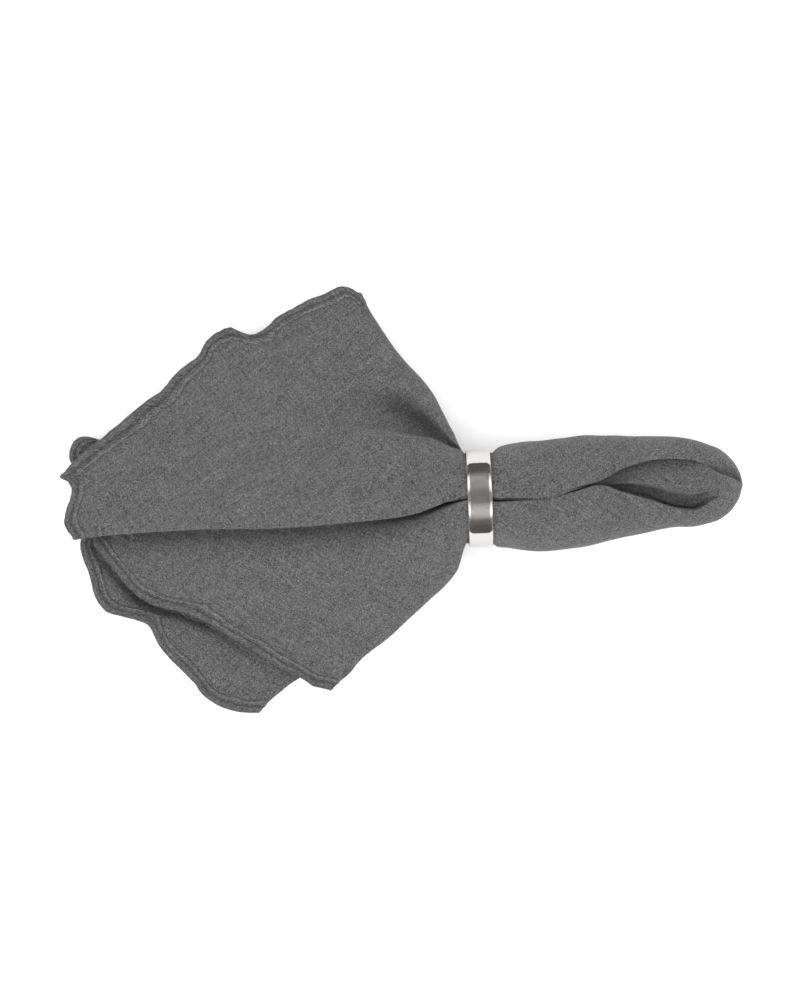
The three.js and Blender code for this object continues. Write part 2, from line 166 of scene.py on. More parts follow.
# Sections of the closed end, from the ring to its rounded tip.
# The centre and half sizes are of the section, upper_lip and lower_lip are the tuck's two edges in degrees.
# ledge: how high the inner panel starts at the upper edge, as a part of the half size. under: how far it
# reaches under that edge, in millimetres. sink: how far that edge is pressed in. shoulder: the panel's radius
# where it dives to the crease. crease: how wide the crease is, in millimetres. floor: its height, as a part
# of the lower edge's. groove: how deep the groove at the upper edge is, where that edge is pressed in.
TIP_SECTIONS = table(
    "x centre_y half_width centre_z half_height upper_lip lower_lip ledge under sink shoulder crease "
    "floor groove",
    (TIP_START_X, RING_CENTRE_Y, BUNDLE_RADIUS, RING_CENTRE_Z, BUNDLE_RADIUS,
     90, 94, 0.85, 1.2, 0, 0.6, 0, 0.15, 0),
    (43.4, 1.4, 22.6, 22.2, 21.6, 91.5, 95, 0.85, 1.2, 0, 0.6, 0, 0.16, 0),
    (47, 2.0, 23.6, 21.4, 21.0, 92.6, 95.8, 0.86, 1.2, 0, 0.6, 0, 0.2, 0),
    (54, 2.4, 24.9, 19.7, 19.2, 93, 95.8, 0.9, 1.2, 0, 0.6, 0, 0.25, 0),
    (64, 2.3, 25.5, 18, 17.6, 92, 95, 0.95, 1.0, 0, 0.6, 0.4, 0.3, 0),
    (78.5, 4.0, 25.6, 16.2, 16, 86.6, 89.8, 0.9, 1.2, 0, 0.6, 1, 0.35, 0),
    (91, 5.1, 24.5, 15, 14.8, 80, 86, 0.48, 1.8, 0, 0.45, 2, 0.26, 0),
    (101, 6.3, 23.4, 14.4, 14.2, 69, 97, 0.36, 2.6, 0, 0.68, 5.6, 0.2, 0),
    (113, 7.5, 22.1, 13.9, 13.7, 61.5, 109, 0.42, 3.0, 0, 0.84, 6.8, 0.14, 0),
    (126, 8.7, 20.6, 13.4, 13.2, 62, 127, 0.53, 3.0, 0, 0.92, 7.8, 0.1, 0),
    (134.5, 8.4, 19.1, 13.0, 12.6, 61, 128.5, 0.65, 2.2, 0.03, 0.95, 7.4, 0.14, 0.8),
    (139.6, 8.3, 17.7, 12.7, 11.9, 61.5, 119, 0.83, 1.4, 0.2, 0.97, 5.4, 0.66, 4),
    (145.5, 8.2, 15.8, 12.3, 10.8, 65.5, 112, 0.98, 0.7, 0.44, 1, 2, 1, 5.5),
    (151.9, 8, 11.2, 11.8, 8, 70.5, 112, 1, 0.4, 0.5, 1, 0, 1, 4.5),
    (155.6, 7, 5.7, 11.4, 4.4, 73, 110, 1, 0, 0.35, 1, 0, 1, 1.5),
    (157.1, 6.8, 0.1, 11.2, 0.1, 75, 110, 1, 0, 0, 1, 0, 1, 0),
)

EXIT_SWELL = 0.22
EXIT_PART = 0.08
FALL = {"first": 0.9, "second": 0.95, "third": -0.85}

# How much closer the fan's sections stand at its ends.
FAN_CROWDING = 0.108

# A slot keeps most of its depth along the closed end and fades out late: the power of its way.
SLOT_FADING = 3

# How many sections the sheet has in the fan, under the ring and in the closed end.
FAN_STEPS = 106
RING_STEPS = 5
TIP_STEPS = 82


def mix(a, b, t):
    return a + (b - a) * t


def smooth(t):
    s = np.clip(t, 0, 1)
    return s * s * (3 - 2 * s)


def polar(degrees, radius, side=0.0):
    """A point of the section from its distance along a fold's direction and to the side of it."""
    c, s = math.cos(math.radians(degrees)), math.sin(math.radians(degrees))
    return np.array([radius * c - side * s, radius * s + side * c])


def along(points, parts):
    """The points at these parts of a polyline's length."""
    points = np.asarray(points)
    steps = np.linalg.norm(np.diff(points, axis=0), axis=1)
    length = np.concatenate([[0], np.cumsum(steps)])
    places = np.asarray(parts) * length[-1]
    return np.stack([np.interp(places, length, points[:, k]) for k in range(points.shape[1])], axis=1)


def points_after(fold):
    """How many control points of the cloth lie between a fold and the next one."""
    stretch = HEM_POINTS[fold["name"]]
    return len(stretch) if isinstance(stretch, list) else stretch["count"]


def dips(fold):
    return fold["kind"] == "valley"


def bottom_share(shape, fold):
    """How far a valley is from closed: 1 where it is a deep slot, down to 0 where it has faded out."""
    return min(1, max(0, BUNDLE_RADIUS - shape["bottom"](fold)) / FADING_DEPTH)


def lip_and_ledge(angle, shape):
    """The tuck's upper edge, and the place under it where the inner panel starts."""
    lip = polar(angle, BUNDLE_RADIUS * (1 - shape["sink"]))
    return lip, lip + [shape["under"], (shape["ledge"] + shape["sink"] - 1) * BUNDLE_RADIUS]


def fold_points(fold, shape):
    """The points round a fold in a section of the gathered cloth."""
    if dips(fold):
        depth = shape["bottom"](fold)
        share = bottom_share(shape, fold)
        is_tuck = fold["name"] == "tuck_bottom"
        half = shape["crease_half"] if is_tuck else mix(FADED_HALF_WIDTH, SLOT_WIDTH / 2, share)
        angle = shape["crease_angle"] if is_tuck else fold["angle"]
        deepest = depth - share * SLOT_WIDTH / 2
        return [polar(angle, depth, -half), polar(angle, deepest), polar(angle, depth, half)]
    angle = shape["lip_angle"](fold) if fold["kind"] == "lip" else fold["angle"]
    if fold["turn"] == 0:
        return [polar(angle, BUNDLE_RADIUS)]
    if fold["kind"] == "lip":
        before = LIP_DEGREES["before"] + LIP_DEGREES["before_when_sunk"] * shape["sink"]
        lip, ledge = lip_and_ledge(angle, shape)
        tucked = lip + (ledge - lip) * [LIP_TURN_IN["under"], LIP_TURN_IN["down"]] - [0, shape["groove"]]
        return [polar(angle - before, BUNDLE_RADIUS), lip, tucked]
    return [polar(angle + spread, BUNDLE_RADIUS) for spread in (-EDGE_DEGREES, 0, EDGE_DEGREES)]


def mouth_point(fold, shape, side):
    """The rounded mouth of a valley, on the side where the cloth leaves it (1) or comes to it (-1)."""
    share = bottom_share(shape, fold)
    half = SLOT_WIDTH / 2 + FADED_MOUTH_SPREAD * (1 - share)
    return polar(fold["angle"], BUNDLE_RADIUS - MOUTH_ROUNDING * share, side * half)


def wall_path(fold, after, start, end, shape):
    """The way through the section from one fold to the next."""
    if dips(fold) and after["kind"] == "lip":
        return [start, end]
    if fold["kind"] == "lip" and dips(after):
        lip_angle = shape["lip_angle"](fold)
        lip, ledge = lip_and_ledge(lip_angle, shape)
        lower_lip = shape["lip_angle"](FOLDS[FOLDS.index(after) + 1])
        if shape["dive_degrees"] == 0:
            # A shelf right under the tuck keeps the line between its edges shallow.
            shelf = np.array([polar(lower_lip, BUNDLE_RADIUS)[0] + SHELF_FROM_WALL, ledge[1]])
            return [start, ledge, mix(ledge + (end - ledge) * SHELF_SLOPE, shelf, shape["shelf"]), end]
        dive_angle = max(lower_lip - shape["dive_degrees"], mix(lip_angle, lower_lip, PANEL_BACK["least"]))
        back_height = mix(shape["ledge"], shape["shoulder"], PANEL_BACK["up"])
        back = polar(mix(lip_angle, dive_angle, PANEL_BACK["across"]), BUNDLE_RADIUS * back_height)
        shoulder = polar(dive_angle, BUNDLE_RADIUS * shape["shoulder"])
        foot = shoulder + (end - shoulder) * CREASE_FOOT
        return [start, ledge, back, shoulder, foot, end]
    head = [start, mouth_point(fold, shape, 1)] if dips(fold) else [start]
    tail = [mouth_point(after, shape, -1), end] if dips(after) else [end]
    rounding = math.radians(MOUTH_ROUNDING_DEGREES)
    start_angle = math.atan2(head[-1][1], head[-1][0])
    end_angle = math.atan2(tail[0][1], tail[0][0])
    turned = (end_angle - start_angle + math.pi) % (2 * math.pi) - math.pi
    arc_from = start_angle + (rounding if dips(fold) else 0)
    arc_to = start_angle + turned - (rounding if dips(after) else 0)
    if arc_to <= arc_from:
        return head + tail
    angles = np.linspace(arc_from, arc_to, ARC_STEPS)
    arc = [BUNDLE_RADIUS * np.array([math.cos(a), math.sin(a)]) for a in angles]
    return head + arc + tail


def finer(fold):
    """How many steps lie between two neighbouring control points after a fold."""
    return max(2, round(fold["fine"] / (points_after(fold) + 1)))


FOLD_FINER = 3


def gathered_section(shape):
    """One section of the gathered cloth at full fineness, as (y, z) from the bundle's centre."""
    groups = [fold_points(fold, shape) for fold in FOLDS]
    out = []
    for i, fold in enumerate(FOLDS):
        after = (i + 1) % len(FOLDS)
        if len(groups[i]) > 1:
            out.append(along(groups[i], np.arange(2 * FOLD_FINER) / (2 * FOLD_FINER)))
        path = wall_path(fold, FOLDS[after], groups[i][-1], groups[after][0], shape)
        steps = finer(fold) * (points_after(fold) + 1)
        out.append(along(path, np.arange(steps) / steps))
    return np.concatenate(out)


def fold_rise(fold):
    """Whether the cloth climbs (1) or drops (-1) by a layer where it doubles back at a fold."""
    return 1 if math.cos(math.radians(fold["angle"])) > 0.2 else -1


def hem_fold(fold):
    """The control points of one fold at the hem."""
    centre = np.array([fold["x"], fold["y"], fold["level"] * LAYER_PITCH])
    ray = np.array([fold["x"] - FAN_START_X, fold["y"] - RING_CENTRE_Y])
    ray = ray / np.linalg.norm(ray)
    across = np.array([ray[1], -ray[0], 0])
    if fold["turn"] == 0 and fold["kind"] == "lip":
        return [centre]
    if fold["turn"] == 0:
        order = -1 if fold["angle"] < 180 else 1
        return [centre + across * shift * order for shift in (-CREASE_SPREAD, 0, CREASE_SPREAD)]
    half = np.array([0, 0, fold_rise(fold) * LAYER_PITCH / 2])
    return [centre - half, centre + across * fold["turn"] * LAYER_PITCH / 2, centre + half]


def centripetal(controls, counts):
    """A closed smooth line through control points, with counts[i] steps from point i to the next."""
    points = np.asarray(controls)
    spans = np.sqrt(np.linalg.norm(np.roll(points, -1, axis=0) - points, axis=1)) + 1e-6
    out = []
    total = len(points)
    for i, count in enumerate(counts):
        p0, p1, p2, p3 = (points[(i + k) % total] for k in (-1, 0, 1, 2))
        t0, t1 = 0, spans[i - 1]
        t2 = t1 + spans[i]
        t3 = t2 + spans[(i + 1) % total]
        t = (t1 + (t2 - t1) * np.arange(count) / count)[:, None]
        a1 = (t1 - t) / (t1 - t0) * p0 + (t - t0) / (t1 - t0) * p1
        a2 = (t2 - t) / (t2 - t1) * p1 + (t - t1) / (t2 - t1) * p2
        a3 = (t3 - t) / (t3 - t2) * p2 + (t - t2) / (t3 - t2) * p3
        b1 = (t2 - t) / (t2 - t0) * a1 + (t - t0) / (t2 - t0) * a2
        b2 = (t3 - t) / (t3 - t1) * a2 + (t - t1) / (t3 - t1) * a3
        out.append((t2 - t) / (t2 - t1) * b1 + (t - t1) / (t2 - t1) * b2)
    return np.concatenate(out)


def hem_line():
    """The hem as a closed line with as many points as a section.

    Returns its points, each point's sway and lift, and the number of the fold that each point follows."""
    groups = [hem_fold(fold) for fold in FOLDS]
    controls, counts, sways, lifts, owners = [], [], [], [], []
    for i, fold in enumerate(FOLDS):
        after = (i + 1) % len(FOLDS)
        for k, place in enumerate(groups[i]):
            controls.append(place)
            last = k == len(groups[i]) - 1
            counts.append(finer(fold) if last else FOLD_FINER)
        count = points_after(fold)
        stretch = HEM_POINTS[fold["name"]]
        start, end = groups[i][-1], groups[after][0]
        for k in range(1, count + 1):
            if isinstance(stretch, list):
                row = stretch[k - 1]
                place = np.array([row["x"], row["y"], row["level"] * LAYER_PITCH])
            else:
                place = mix(start, end, k / (count + 1))
                arch = stretch["arch"] * LAYER_PITCH * math.sin(math.pi * k / (count + 1))
                place[2] = max(place[2] + arch, 0)
            controls.append(place)
            counts.append(finer(fold))
        in_fold = FOLD_FINER * (len(groups[i]) - 1)
        steps = finer(fold) * (count + 1)
        part = np.concatenate([np.zeros(in_fold), np.arange(steps) / steps])
        sways.append(mix(fold["sway"], FOLDS[after]["sway"], part))
        lifts.append(mix(fold["lift"], FOLDS[after]["lift"], part))
        owners.append(np.full(in_fold + steps, i))
    line = centripetal(controls, counts)
    return line, np.concatenate(sways), np.concatenate(lifts), np.concatenate(owners)


RING_SHAPE = {
    "bottom": lambda fold: fold["bottom"],
    "lip_angle": lambda fold: fold["angle"],
    "crease_angle": 90,
    "crease_half": SLOT_WIDTH / 2,
    "ledge": 0.85,
    "under": 1.2,
    "sink": 0,
    "shoulder": 0.6,
    "dive_degrees": 0,
    "groove": 0,
    "shelf": 1,
}


def fan_section(part, hem, sway, lift):
    """One section of the fan."""

    def bottom(fold):
        if fold["fade"] > 0:
            return mix(fold["bottom"], BUNDLE_RADIUS, smooth(part / fold["fade"]))
        return fold["bottom"]

    past_shelf = smooth(part / SHELF_UNTIL_PART)
    ledge = mix(LEDGE_AT_RING, RING_SHAPE["ledge"], past_shelf)
    section = gathered_section({**RING_SHAPE, "bottom": bottom, "ledge": ledge, "shelf": 1 - past_shelf})
    bow = (27 / 4) * part * (1 - part) ** 2
    fall = FALL["first"] * part + FALL["second"] * part**2 + FALL["third"] * part**3
    swell = 1 + EXIT_SWELL * smooth(part / EXIT_PART)
    return np.stack(
        [
            mix(FAN_START_X, hem[:, 0], part),
            mix(section[:, 0] * swell + RING_CENTRE_Y, hem[:, 1], part) + sway * bow,
            mix(section[:, 1] + RING_CENTRE_Z, hem[:, 2] + LAYER_PITCH / 4, fall) + lift * bow,
        ],
        axis=1,
    )


def tip_section(row):
    """One section of the closed end."""
    past = row["x"] - TIP_START_X
    gap = row["lower_lip"] - row["upper_lip"]
    lips = {"tuck_edge": row["upper_lip"], "lower_lip": row["lower_lip"]}
    # The crease lies straight below the lower lip.
    below_lip = polar(row["lower_lip"], BUNDLE_RADIUS) * [1, row["floor"]] + [TUCK_CREASE["inside_lip"], 0]

    def bottom(fold):
        if fold["name"] == "tuck_bottom":
            return mix(math.hypot(*below_lip), BUNDLE_RADIUS, smooth((row["floor"] - 0.85) / 0.15))
        return mix(fold["bottom"], BUNDLE_RADIUS, min(1, max(0, past) / fold["reach"]) ** SLOT_FADING)

    section = gathered_section(
        {
            "bottom": bottom,
            "lip_angle": lambda fold: lips.get(fold["name"], fold["angle"]),
            "crease_angle": math.degrees(math.atan2(below_lip[1], below_lip[0])),
            "crease_half": mix(
                SLOT_WIDTH / 2, TUCK_CREASE["open_half_width"], smooth(gap / TUCK_CREASE["open_at_degrees"])
            ),
            "ledge": row["ledge"],
            "under": row["under"],
            "sink": max(row["sink"], 0),
            "shoulder": row["shoulder"],
            "groove": max(row["groove"], 0),
            "shelf": 1,
            "dive_degrees": math.degrees(max(row["crease"], 0) / max(row["half_width"], 1)) if gap > 7 else 0,
        }
    )
    return np.stack(
        [
            np.full(len(section), row["x"]),
            row["centre_y"] + section[:, 0] * row["half_width"] / BUNDLE_RADIUS,
            row["centre_z"] + section[:, 1] * row["half_height"] / BUNDLE_RADIUS,
        ],
        axis=1,
    )


def tip_rows():
    """The closed end's section values at even steps along its outline, on smooth curves through the table."""
    names = list(TIP_SECTIONS[0])
    values = np.array([[row[name] for name in names] for row in TIP_SECTIONS], float)
    outline = values[:, [0, 2]]
    place = np.concatenate([[0], np.cumsum(np.linalg.norm(np.diff(outline, axis=0), axis=1))])
    slopes = np.gradient(values, place, axis=0)
    rows = []
    for q in np.linspace(0, place[-1], TIP_STEPS + 1)[1:]:
        i = min(np.searchsorted(place, q, side="right") - 1, len(place) - 2)
        span = place[i + 1] - place[i]
        t = (q - place[i]) / span
        a, b = values[i], values[i + 1]
        ma, mb = slopes[i] * span, slopes[i + 1] * span
        row = (
            a * (2 * t**3 - 3 * t**2 + 1)
            + ma * (t**3 - 2 * t**2 + t)
            + b * (3 * t**2 - 2 * t**3)
            + mb * (t**3 - t**2)
        )
        rows.append(dict(zip(names, row)))
    return rows


def fan_parts():
    """The parts of the fan's length where its sections stand, closer together at the ring and the hem."""
    t = np.linspace(0, 1, FAN_STEPS)
    return t - FAN_CROWDING * np.sin(2 * math.pi * t)


def cloth_grid():
    """The sheet's middle as a grid: sections from the hem to the closed end, each a closed line."""
    hem, sway, lift, owners = hem_line()
    fan = [fan_section(part, hem, sway, lift) for part in fan_parts()[::-1]]
    first = tip_section(TIP_SECTIONS[0])
    under_ring = [mix(fan[-1], first, k / RING_STEPS) for k in range(1, RING_STEPS)]
    tip = [first] + [tip_section(row) for row in tip_rows()]
    return np.array(fan + under_ring + tip), owners


def softened(grid, passes):
    """Rounds the folds by averaging each point a little with its neighbours along the section."""
    for _ in range(passes):
        grid = (np.roll(grid, 1, axis=1) + 2 * grid + np.roll(grid, -1, axis=1)) / 4
    return grid


def columns_from(name, until):
    """The grid's columns from one fold to another."""
    numbers = {fold["name"]: i for i, fold in enumerate(FOLDS)}
    return np.flatnonzero((owners >= numbers[name]) & (owners < numbers[until]))


def relaxed(points, columns, reach):
    """Evens out a panel: its height across it, and the hem's waves, which end a little way in
    from the hem."""
    out = points.copy()
    for r, part in enumerate(np.linspace(1, 0, FAN_STEPS)):
        line = points[r, columns]
        place = np.concatenate([[0], np.cumsum(np.linalg.norm(np.diff(line, axis=0), axis=1))])
        chord = mix(line[:1], line[-1:], (place / place[-1])[:, None])
        kernel = np.exp(-0.5 * ((place[:, None] - place[None, :]) / reach) ** 2)
        kernel *= np.gradient(place)[None, :]
        level = chord + (kernel @ (line - chord)) / kernel.sum(axis=1, keepdims=True)
        near_end = smooth(np.minimum(place, place[-1] - place) / reach)[:, None]
        in_height = smooth((part - 0.1) / 0.45)
        in_plan = smooth((part - 0.15) / 0.35) * (1 - smooth((part - 0.86) / 0.14))
        out[r, columns] = mix(line, level, np.array([in_plan, in_plan, in_height]) * near_end)
    return out


# The dent beside the ring where the upper panel sinks in. Its lines run from the ring outwards, at each x:
# puff_y: the edge of the puff below it. axis_y: its deepest line. strip_y: where the strip starts to sink.
# step: its depth right beside the puff. depth: its greatest depth. soft: how wide the puff's edge is.
DENT = table(
    "x puff_y axis_y strip_y step depth soft",
    (28.5, 23.0, 23.6, 24.4, 0, 0, 0.8),
    (24, 24.3, 25.9, 28.6, 7.6, 8.2, 0.8),
    (19, 26.4, 29.4, 34.6, 11.8, 13.0, 0.9),
    (13.8, 27.6, 33.2, 40.0, 12.6, 15.0, 1.4),
    (8, 28.0, 38.0, 45.4, 11.6, 15.0, 1.8),
    (2, 28.6, 41.6, 50, 10.6, 14.4, 2.6),
    (-6, 28.8, 43.6, 54, 8.0, 11.2, 4.2),
    (-18, 28.6, 41.5, 57.0, 4.8, 7.0, 6.5),
    (-34, 28.0, 37.5, 56.0, 2.0, 3.4, 9),
    (-62, 25.0, 35.0, 54.0, 0, 0, 9),
)


def dent_depth(x, y):
    """How deep the dent is at points of the upper panel."""
    at = {
        name: np.interp(-x, [-row["x"] for row in DENT], [row[name] for row in DENT])
        for name in ("puff_y", "axis_y", "strip_y", "step", "depth", "soft")
    }
    rise = smooth((y - at["puff_y"]) / at["soft"]) * at["step"]
    to_axis = smooth((y - at["puff_y"]) / np.maximum(at["axis_y"] - at["puff_y"], 0.1))
    floor = to_axis * (at["depth"] - at["step"])
    strip = 1 - smooth((y - at["axis_y"]) / np.maximum(at["strip_y"] - at["axis_y"], 0.1))
    return (rise + np.maximum(floor, 0)) * np.where(y > at["axis_y"], strip, 1)


def normals_of(grid):
    """Unit normals of a grid that is closed along its sections, pointing out of the bundle."""
    round_it = np.roll(grid, -1, axis=1) - np.roll(grid, 1, axis=1)
    forward = np.gradient(grid, axis=0)
    normal = np.cross(round_it, forward)
    return normal / np.maximum(np.linalg.norm(normal, axis=2, keepdims=True), 1e-9)


# All layers sink in the dent, the lower ones less, so that none passes through another.
DENT_FROM_HEIGHT = 3.0
DENT_OVER_HEIGHT = 23.0


def dented(points):
    out = points.copy()
    fan = points[:FAN_STEPS]
    share = smooth((fan[..., 2] - DENT_FROM_HEIGHT) / DENT_OVER_HEIGHT)
    out[:FAN_STEPS, :, 2] -= dent_depth(fan[..., 0], fan[..., 1]) * share
    return out


# The tuck line between the upper and the lower panel, in the plan view.
TUCK_LINE = table(
    "x y",
    (-150, -16.5), (-137, -14.5), (-112, -14.3), (-91, -13.3), (-52, -12.6), (-27, -11.6), (-11, -9.8),
    (1.4, -8), (14, -4), (24, 0), (30, 1.1),
)
TUCK_ROLL = {"height": 1.5, "reach": 7.0, "dip": 3.6, "dip_reach": 5.5, "grows_over": 30.0, "power": 1.5}


# How far the tuck line lies above the folds' even course, in the plan view.
TUCK_WAVES = table(
    "x up",
    (-150, 0), (-130, 0.2), (-108, 0.8), (-90, 1.2), (-76, 1.1), (-60, 0.6), (-44, 0.5), (-31, 0.6),
    (-20, 0.2), (-10, -0.5), (0, -1.2), (8, -1.2), (14, -0.5), (20, 0.3), (26, 0.4), (29, 0),
)
TUCK_WAVE_REACH = 7.0


def waved(points):
    """Shifts the tuck line and the cloth beside it where it waves."""
    out = points.copy()
    x, y = points[..., 0], points[..., 1]
    away = y - between(TUCK_LINE, "y", x)
    out[..., 1] += between(TUCK_WAVES, "up", x) * np.exp(-0.5 * (away / TUCK_WAVE_REACH) ** 2)
    return out


def roll_tuck(points):
    """Lifts the upper panel's tuck edge a little, and lets the lower panel sink towards it and under it."""
    out = points.copy()
    x, y = points[..., 0], points[..., 1]
    line = between(TUCK_LINE, "y", x)
    grown = smooth((FAN_START_X - x) / TUCK_ROLL["grows_over"])
    for columns, height, reach, way in (
        (columns_from("upper_puff", "tuck_bottom"), TUCK_ROLL["height"], TUCK_ROLL["reach"], 1),
        (columns_from("lower_lip", "lower_side"), -TUCK_ROLL["dip"], TUCK_ROLL["dip_reach"], -1),
        (columns_from("tuck_bottom", "lower_lip"), -TUCK_ROLL["dip"], TUCK_ROLL["dip_reach"], 0),
    ):
        away = (y - line)[:, columns]
        away = np.maximum(away * way, 0) if way else np.abs(away)
        out[:, columns, 2] += height * grown[:, columns] * np.exp(-((away / reach) ** TUCK_ROLL["power"]))
    return out


# Where the layers below the lower panel's hem are pressed down: at each x, the part of their height
# that goes.
HOLLOW = table(
    "x part",
    (-148, 0), (-141, 0.4), (-131, 0.4), (-120, 0.85), (-110, 0.8), (-96, 0.65), (-84, 0.45), (-66, 0),
)
HOLLOW_REACH = 2.2
HOLLOW_OUTSIDE = (-0.7, -1.2)
HOLLOW_BELOW = (7.5, 10.5)


def hollowed(points):
    """Presses down the layers that lie along the lower panel's hem."""
    line = points[0, columns_from("lower_lip", "lower_side"), :2] + HOLLOW_OUTSIDE
    out = points.copy()
    fan = points[:FAN_STEPS]
    nearest = np.full(fan.shape[:2], 1e9)
    for a, b in zip(line[:-1], line[1:]):
        along_it = np.clip(((fan[..., :2] - a) @ (b - a)) / ((b - a) @ (b - a)), 0, 1)
        away = np.linalg.norm(fan[..., :2] - a - along_it[..., None] * (b - a), axis=2)
        nearest = np.minimum(nearest, away)
    part = between(HOLLOW, "part", fan[..., 0])
    low = 1 - smooth((fan[..., 2] - HOLLOW_BELOW[0]) / (HOLLOW_BELOW[1] - HOLLOW_BELOW[0]))
    out[:FAN_STEPS, :, 2] *= 1 - part * low * np.exp(-((nearest / HOLLOW_REACH) ** 2))
    return out


# Small shifts of the outline in the plan view, with all layers under it: how far to the right and up.
NUDGES = table(
    "x y right up",
    (-51.5, 88.4, 0.3, -0.5), (-67.1, 77.4, 0.3, -0.5), (-72.2, 77.3, -0.3, -0.4), (-78.2, 79, 0, 0.6),
    (-101.4, 59.3, -0.7, 0.7), (-111.2, 51.1, 0.3, -0.4), (-131.2, 35.3, 0.4, -0.5),
    (-141.3, 29, 0, -0.6), (-147.5, 28.9, 0, 0.6), (-151.9, 18.5, -0.7, 0), (-152.4, 4.3, 0.5, 0),
    (-155.8, -7.9, 0.7, -0.1), (-146.6, -23.6, -0.6, -0.3), (-137.7, -47.4, -0.9, -0.5),
    (-133.3, -50.9, -0.2, -0.7), (-109, -68.3, -0.6, -0.5), (-104.6, -72.9, -0.5, -0.5),
    (-100, -77.5, -0.5, -0.5), (-91.5, -87.2, -0.6, -0.5), (-86.9, -91.2, -0.5, -0.8),
    (-81.3, -93.5, -0.2, -0.6), (-75.1, -94.8, -0.4, -1.7), (-69.5, -95.4, 0.3, -1.4),
    (-48.3, -82.4, -0.4, 0.7), (-42.7, -82.6, -0.3, -0.5), (-36.8, -85.1, -0.6, -1.2),
    (-31.2, -85.5, -0.5, 0.6), (-26.8, -80.8, 0.4, -0.5), (-17.3, -72.5, -0.6, 0.9),
    (-12.4, -68.5, -0.6, 0.7), (-7.4, -64.4, -0.3, 0.4), (-2.4, -60.3, -0.5, 0.5),
    (2.4, -56, -0.7, 0.8), (7, -51.6, -0.6, 0.7), (11.5, -47, -0.4, 0.4), (19.8, -37.1, 0.4, -0.4),
    (23.6, -32, 0.9, -0.8), (26.1, -26.7, 0.3, 0), (135.8, -9.9, 0.1, -0.9), (141.7, -8.2, 0.5, -1.3),
    (147.4, -5.7, 0.4, -0.6), (155.7, 3.6, -0.7, 0.3), (153.5, 16.2, -0.4, -0.3),
    (125.3, 29.8, 0, -0.5), (74, 29.4, 0.1, -0.6), (61.3, 28.1, 0, -0.5), (54.8, 27.9, 0.1, -0.9),
    (26.9, 28.5, -1.5, -0.8), (24.1, 34.1, -1.7, -0.7), (20.4, 39.6, -0.6, -0.3),
    (12.9, 50.1, 0.4, 0.2), (1.4, 65.5, -0.7, -0.6), (-2.4, 70.5, -1, -0.7), (-6.3, 75.7, -0.7, -0.5),
    (-10.1, 80.7, -0.4, -0.2), (-21.9, 95, 0.6, 1.3),
)
NUDGE_REACH = 4.5


def nudged(points):
    """Shifts the outline a little where it waves more than the folds make it."""
    shift = np.zeros(points.shape[:2] + (2,))
    total = np.ones(points.shape[:2])
    for row in NUDGES:
        away = np.hypot(points[..., 0] - row["x"], points[..., 1] - row["y"])
        weight = np.exp(-0.5 * (away / NUDGE_REACH) ** 2)
        shift += weight[..., None] * (row["right"], row["up"])
        total += weight
    out = points.copy()
    out[..., :2] += 2 * shift / total[..., None]
    return out


def value_noise(x, y, size, seed):
    """Smooth noise from -1 to 1 with features of about this size, the same on every run."""
    lattice = np.random.RandomState(seed).uniform(-1, 1, (64, 64))
    u, v = np.asarray(x) / size, np.asarray(y) / size
    i, j = np.floor(u).astype(int), np.floor(v).astype(int)
    fu, fv = smooth(u - i), smooth(v - j)
    corner = lambda a, b: lattice[(i + a) % 64, (j + b) % 64]
    return mix(mix(corner(0, 0), corner(1, 0), fu), mix(corner(0, 1), corner(1, 1), fu), fv)


# Soft unevenness of the fan: all layers rise and fall together, so that none passes through another.
# size: how wide a swell is. height: how high. seed: which pattern.
FAN_SWELLS = table("size height seed", (46, 1.3, 3), (21, 0.55, 8), (11, 0.22, 5))

# Unevenness of the closed end, along its sections' outward direction.
TIP_SWELLS = table("size height seed", (26, 0.5, 11), (12, 0.28, 12), (6.5, 0.13, 13))

# The sheet's length over which the fan's unevenness grows from nothing, from the ring.
CALM_LENGTH = 70.0


def uneven(points, normals):
    """Adds the soft unevenness of washed cloth to the folded sheet."""
    x, y, z = points[..., 0], points[..., 1], points[..., 2]
    in_fan = smooth((FAN_START_X - x) / CALM_LENGTH)
    loose = smooth((z - 0.8) / 7)
    rise = sum(row["height"] * value_noise(x, y, row["size"], row["seed"]) for row in FAN_SWELLS)
    out = points.copy()
    out[..., 2] += rise * in_fan * loose
    in_tip = smooth((x - TIP_START_X) / 14) * (1 - smooth((x - 149) / 5))
    round_it = np.arctan2(z - 14, y - 5) * 22
    push = sum(row["height"] * value_noise(x, round_it, row["size"], row["seed"]) for row in TIP_SWELLS)
    return out + normals * (push * in_tip * smooth((z - 0.4) / 3))[..., None]


grid, owners = cloth_grid()
grid = softened(grid, 3)
top_panel = columns_from("upper_side", "tuck_edge")[7:]
grid = relaxed(grid, top_panel, 14)
grid = relaxed(grid, columns_from("lower_lip", "lower_side")[7:], 10)
grid = relaxed(grid, columns_from("left_inner_gusset", "lower_corner")[7:], 6)
grid = waved(grid)
undented = roll_tuck(grid)
grid = dented(grid)
grid = roll_tuck(grid)
grid = hollowed(grid)
grid = nudged(grid)
grid = uneven(grid, normals_of(grid))
grid[..., 2] = np.maximum(grid[..., 2], 0.3)

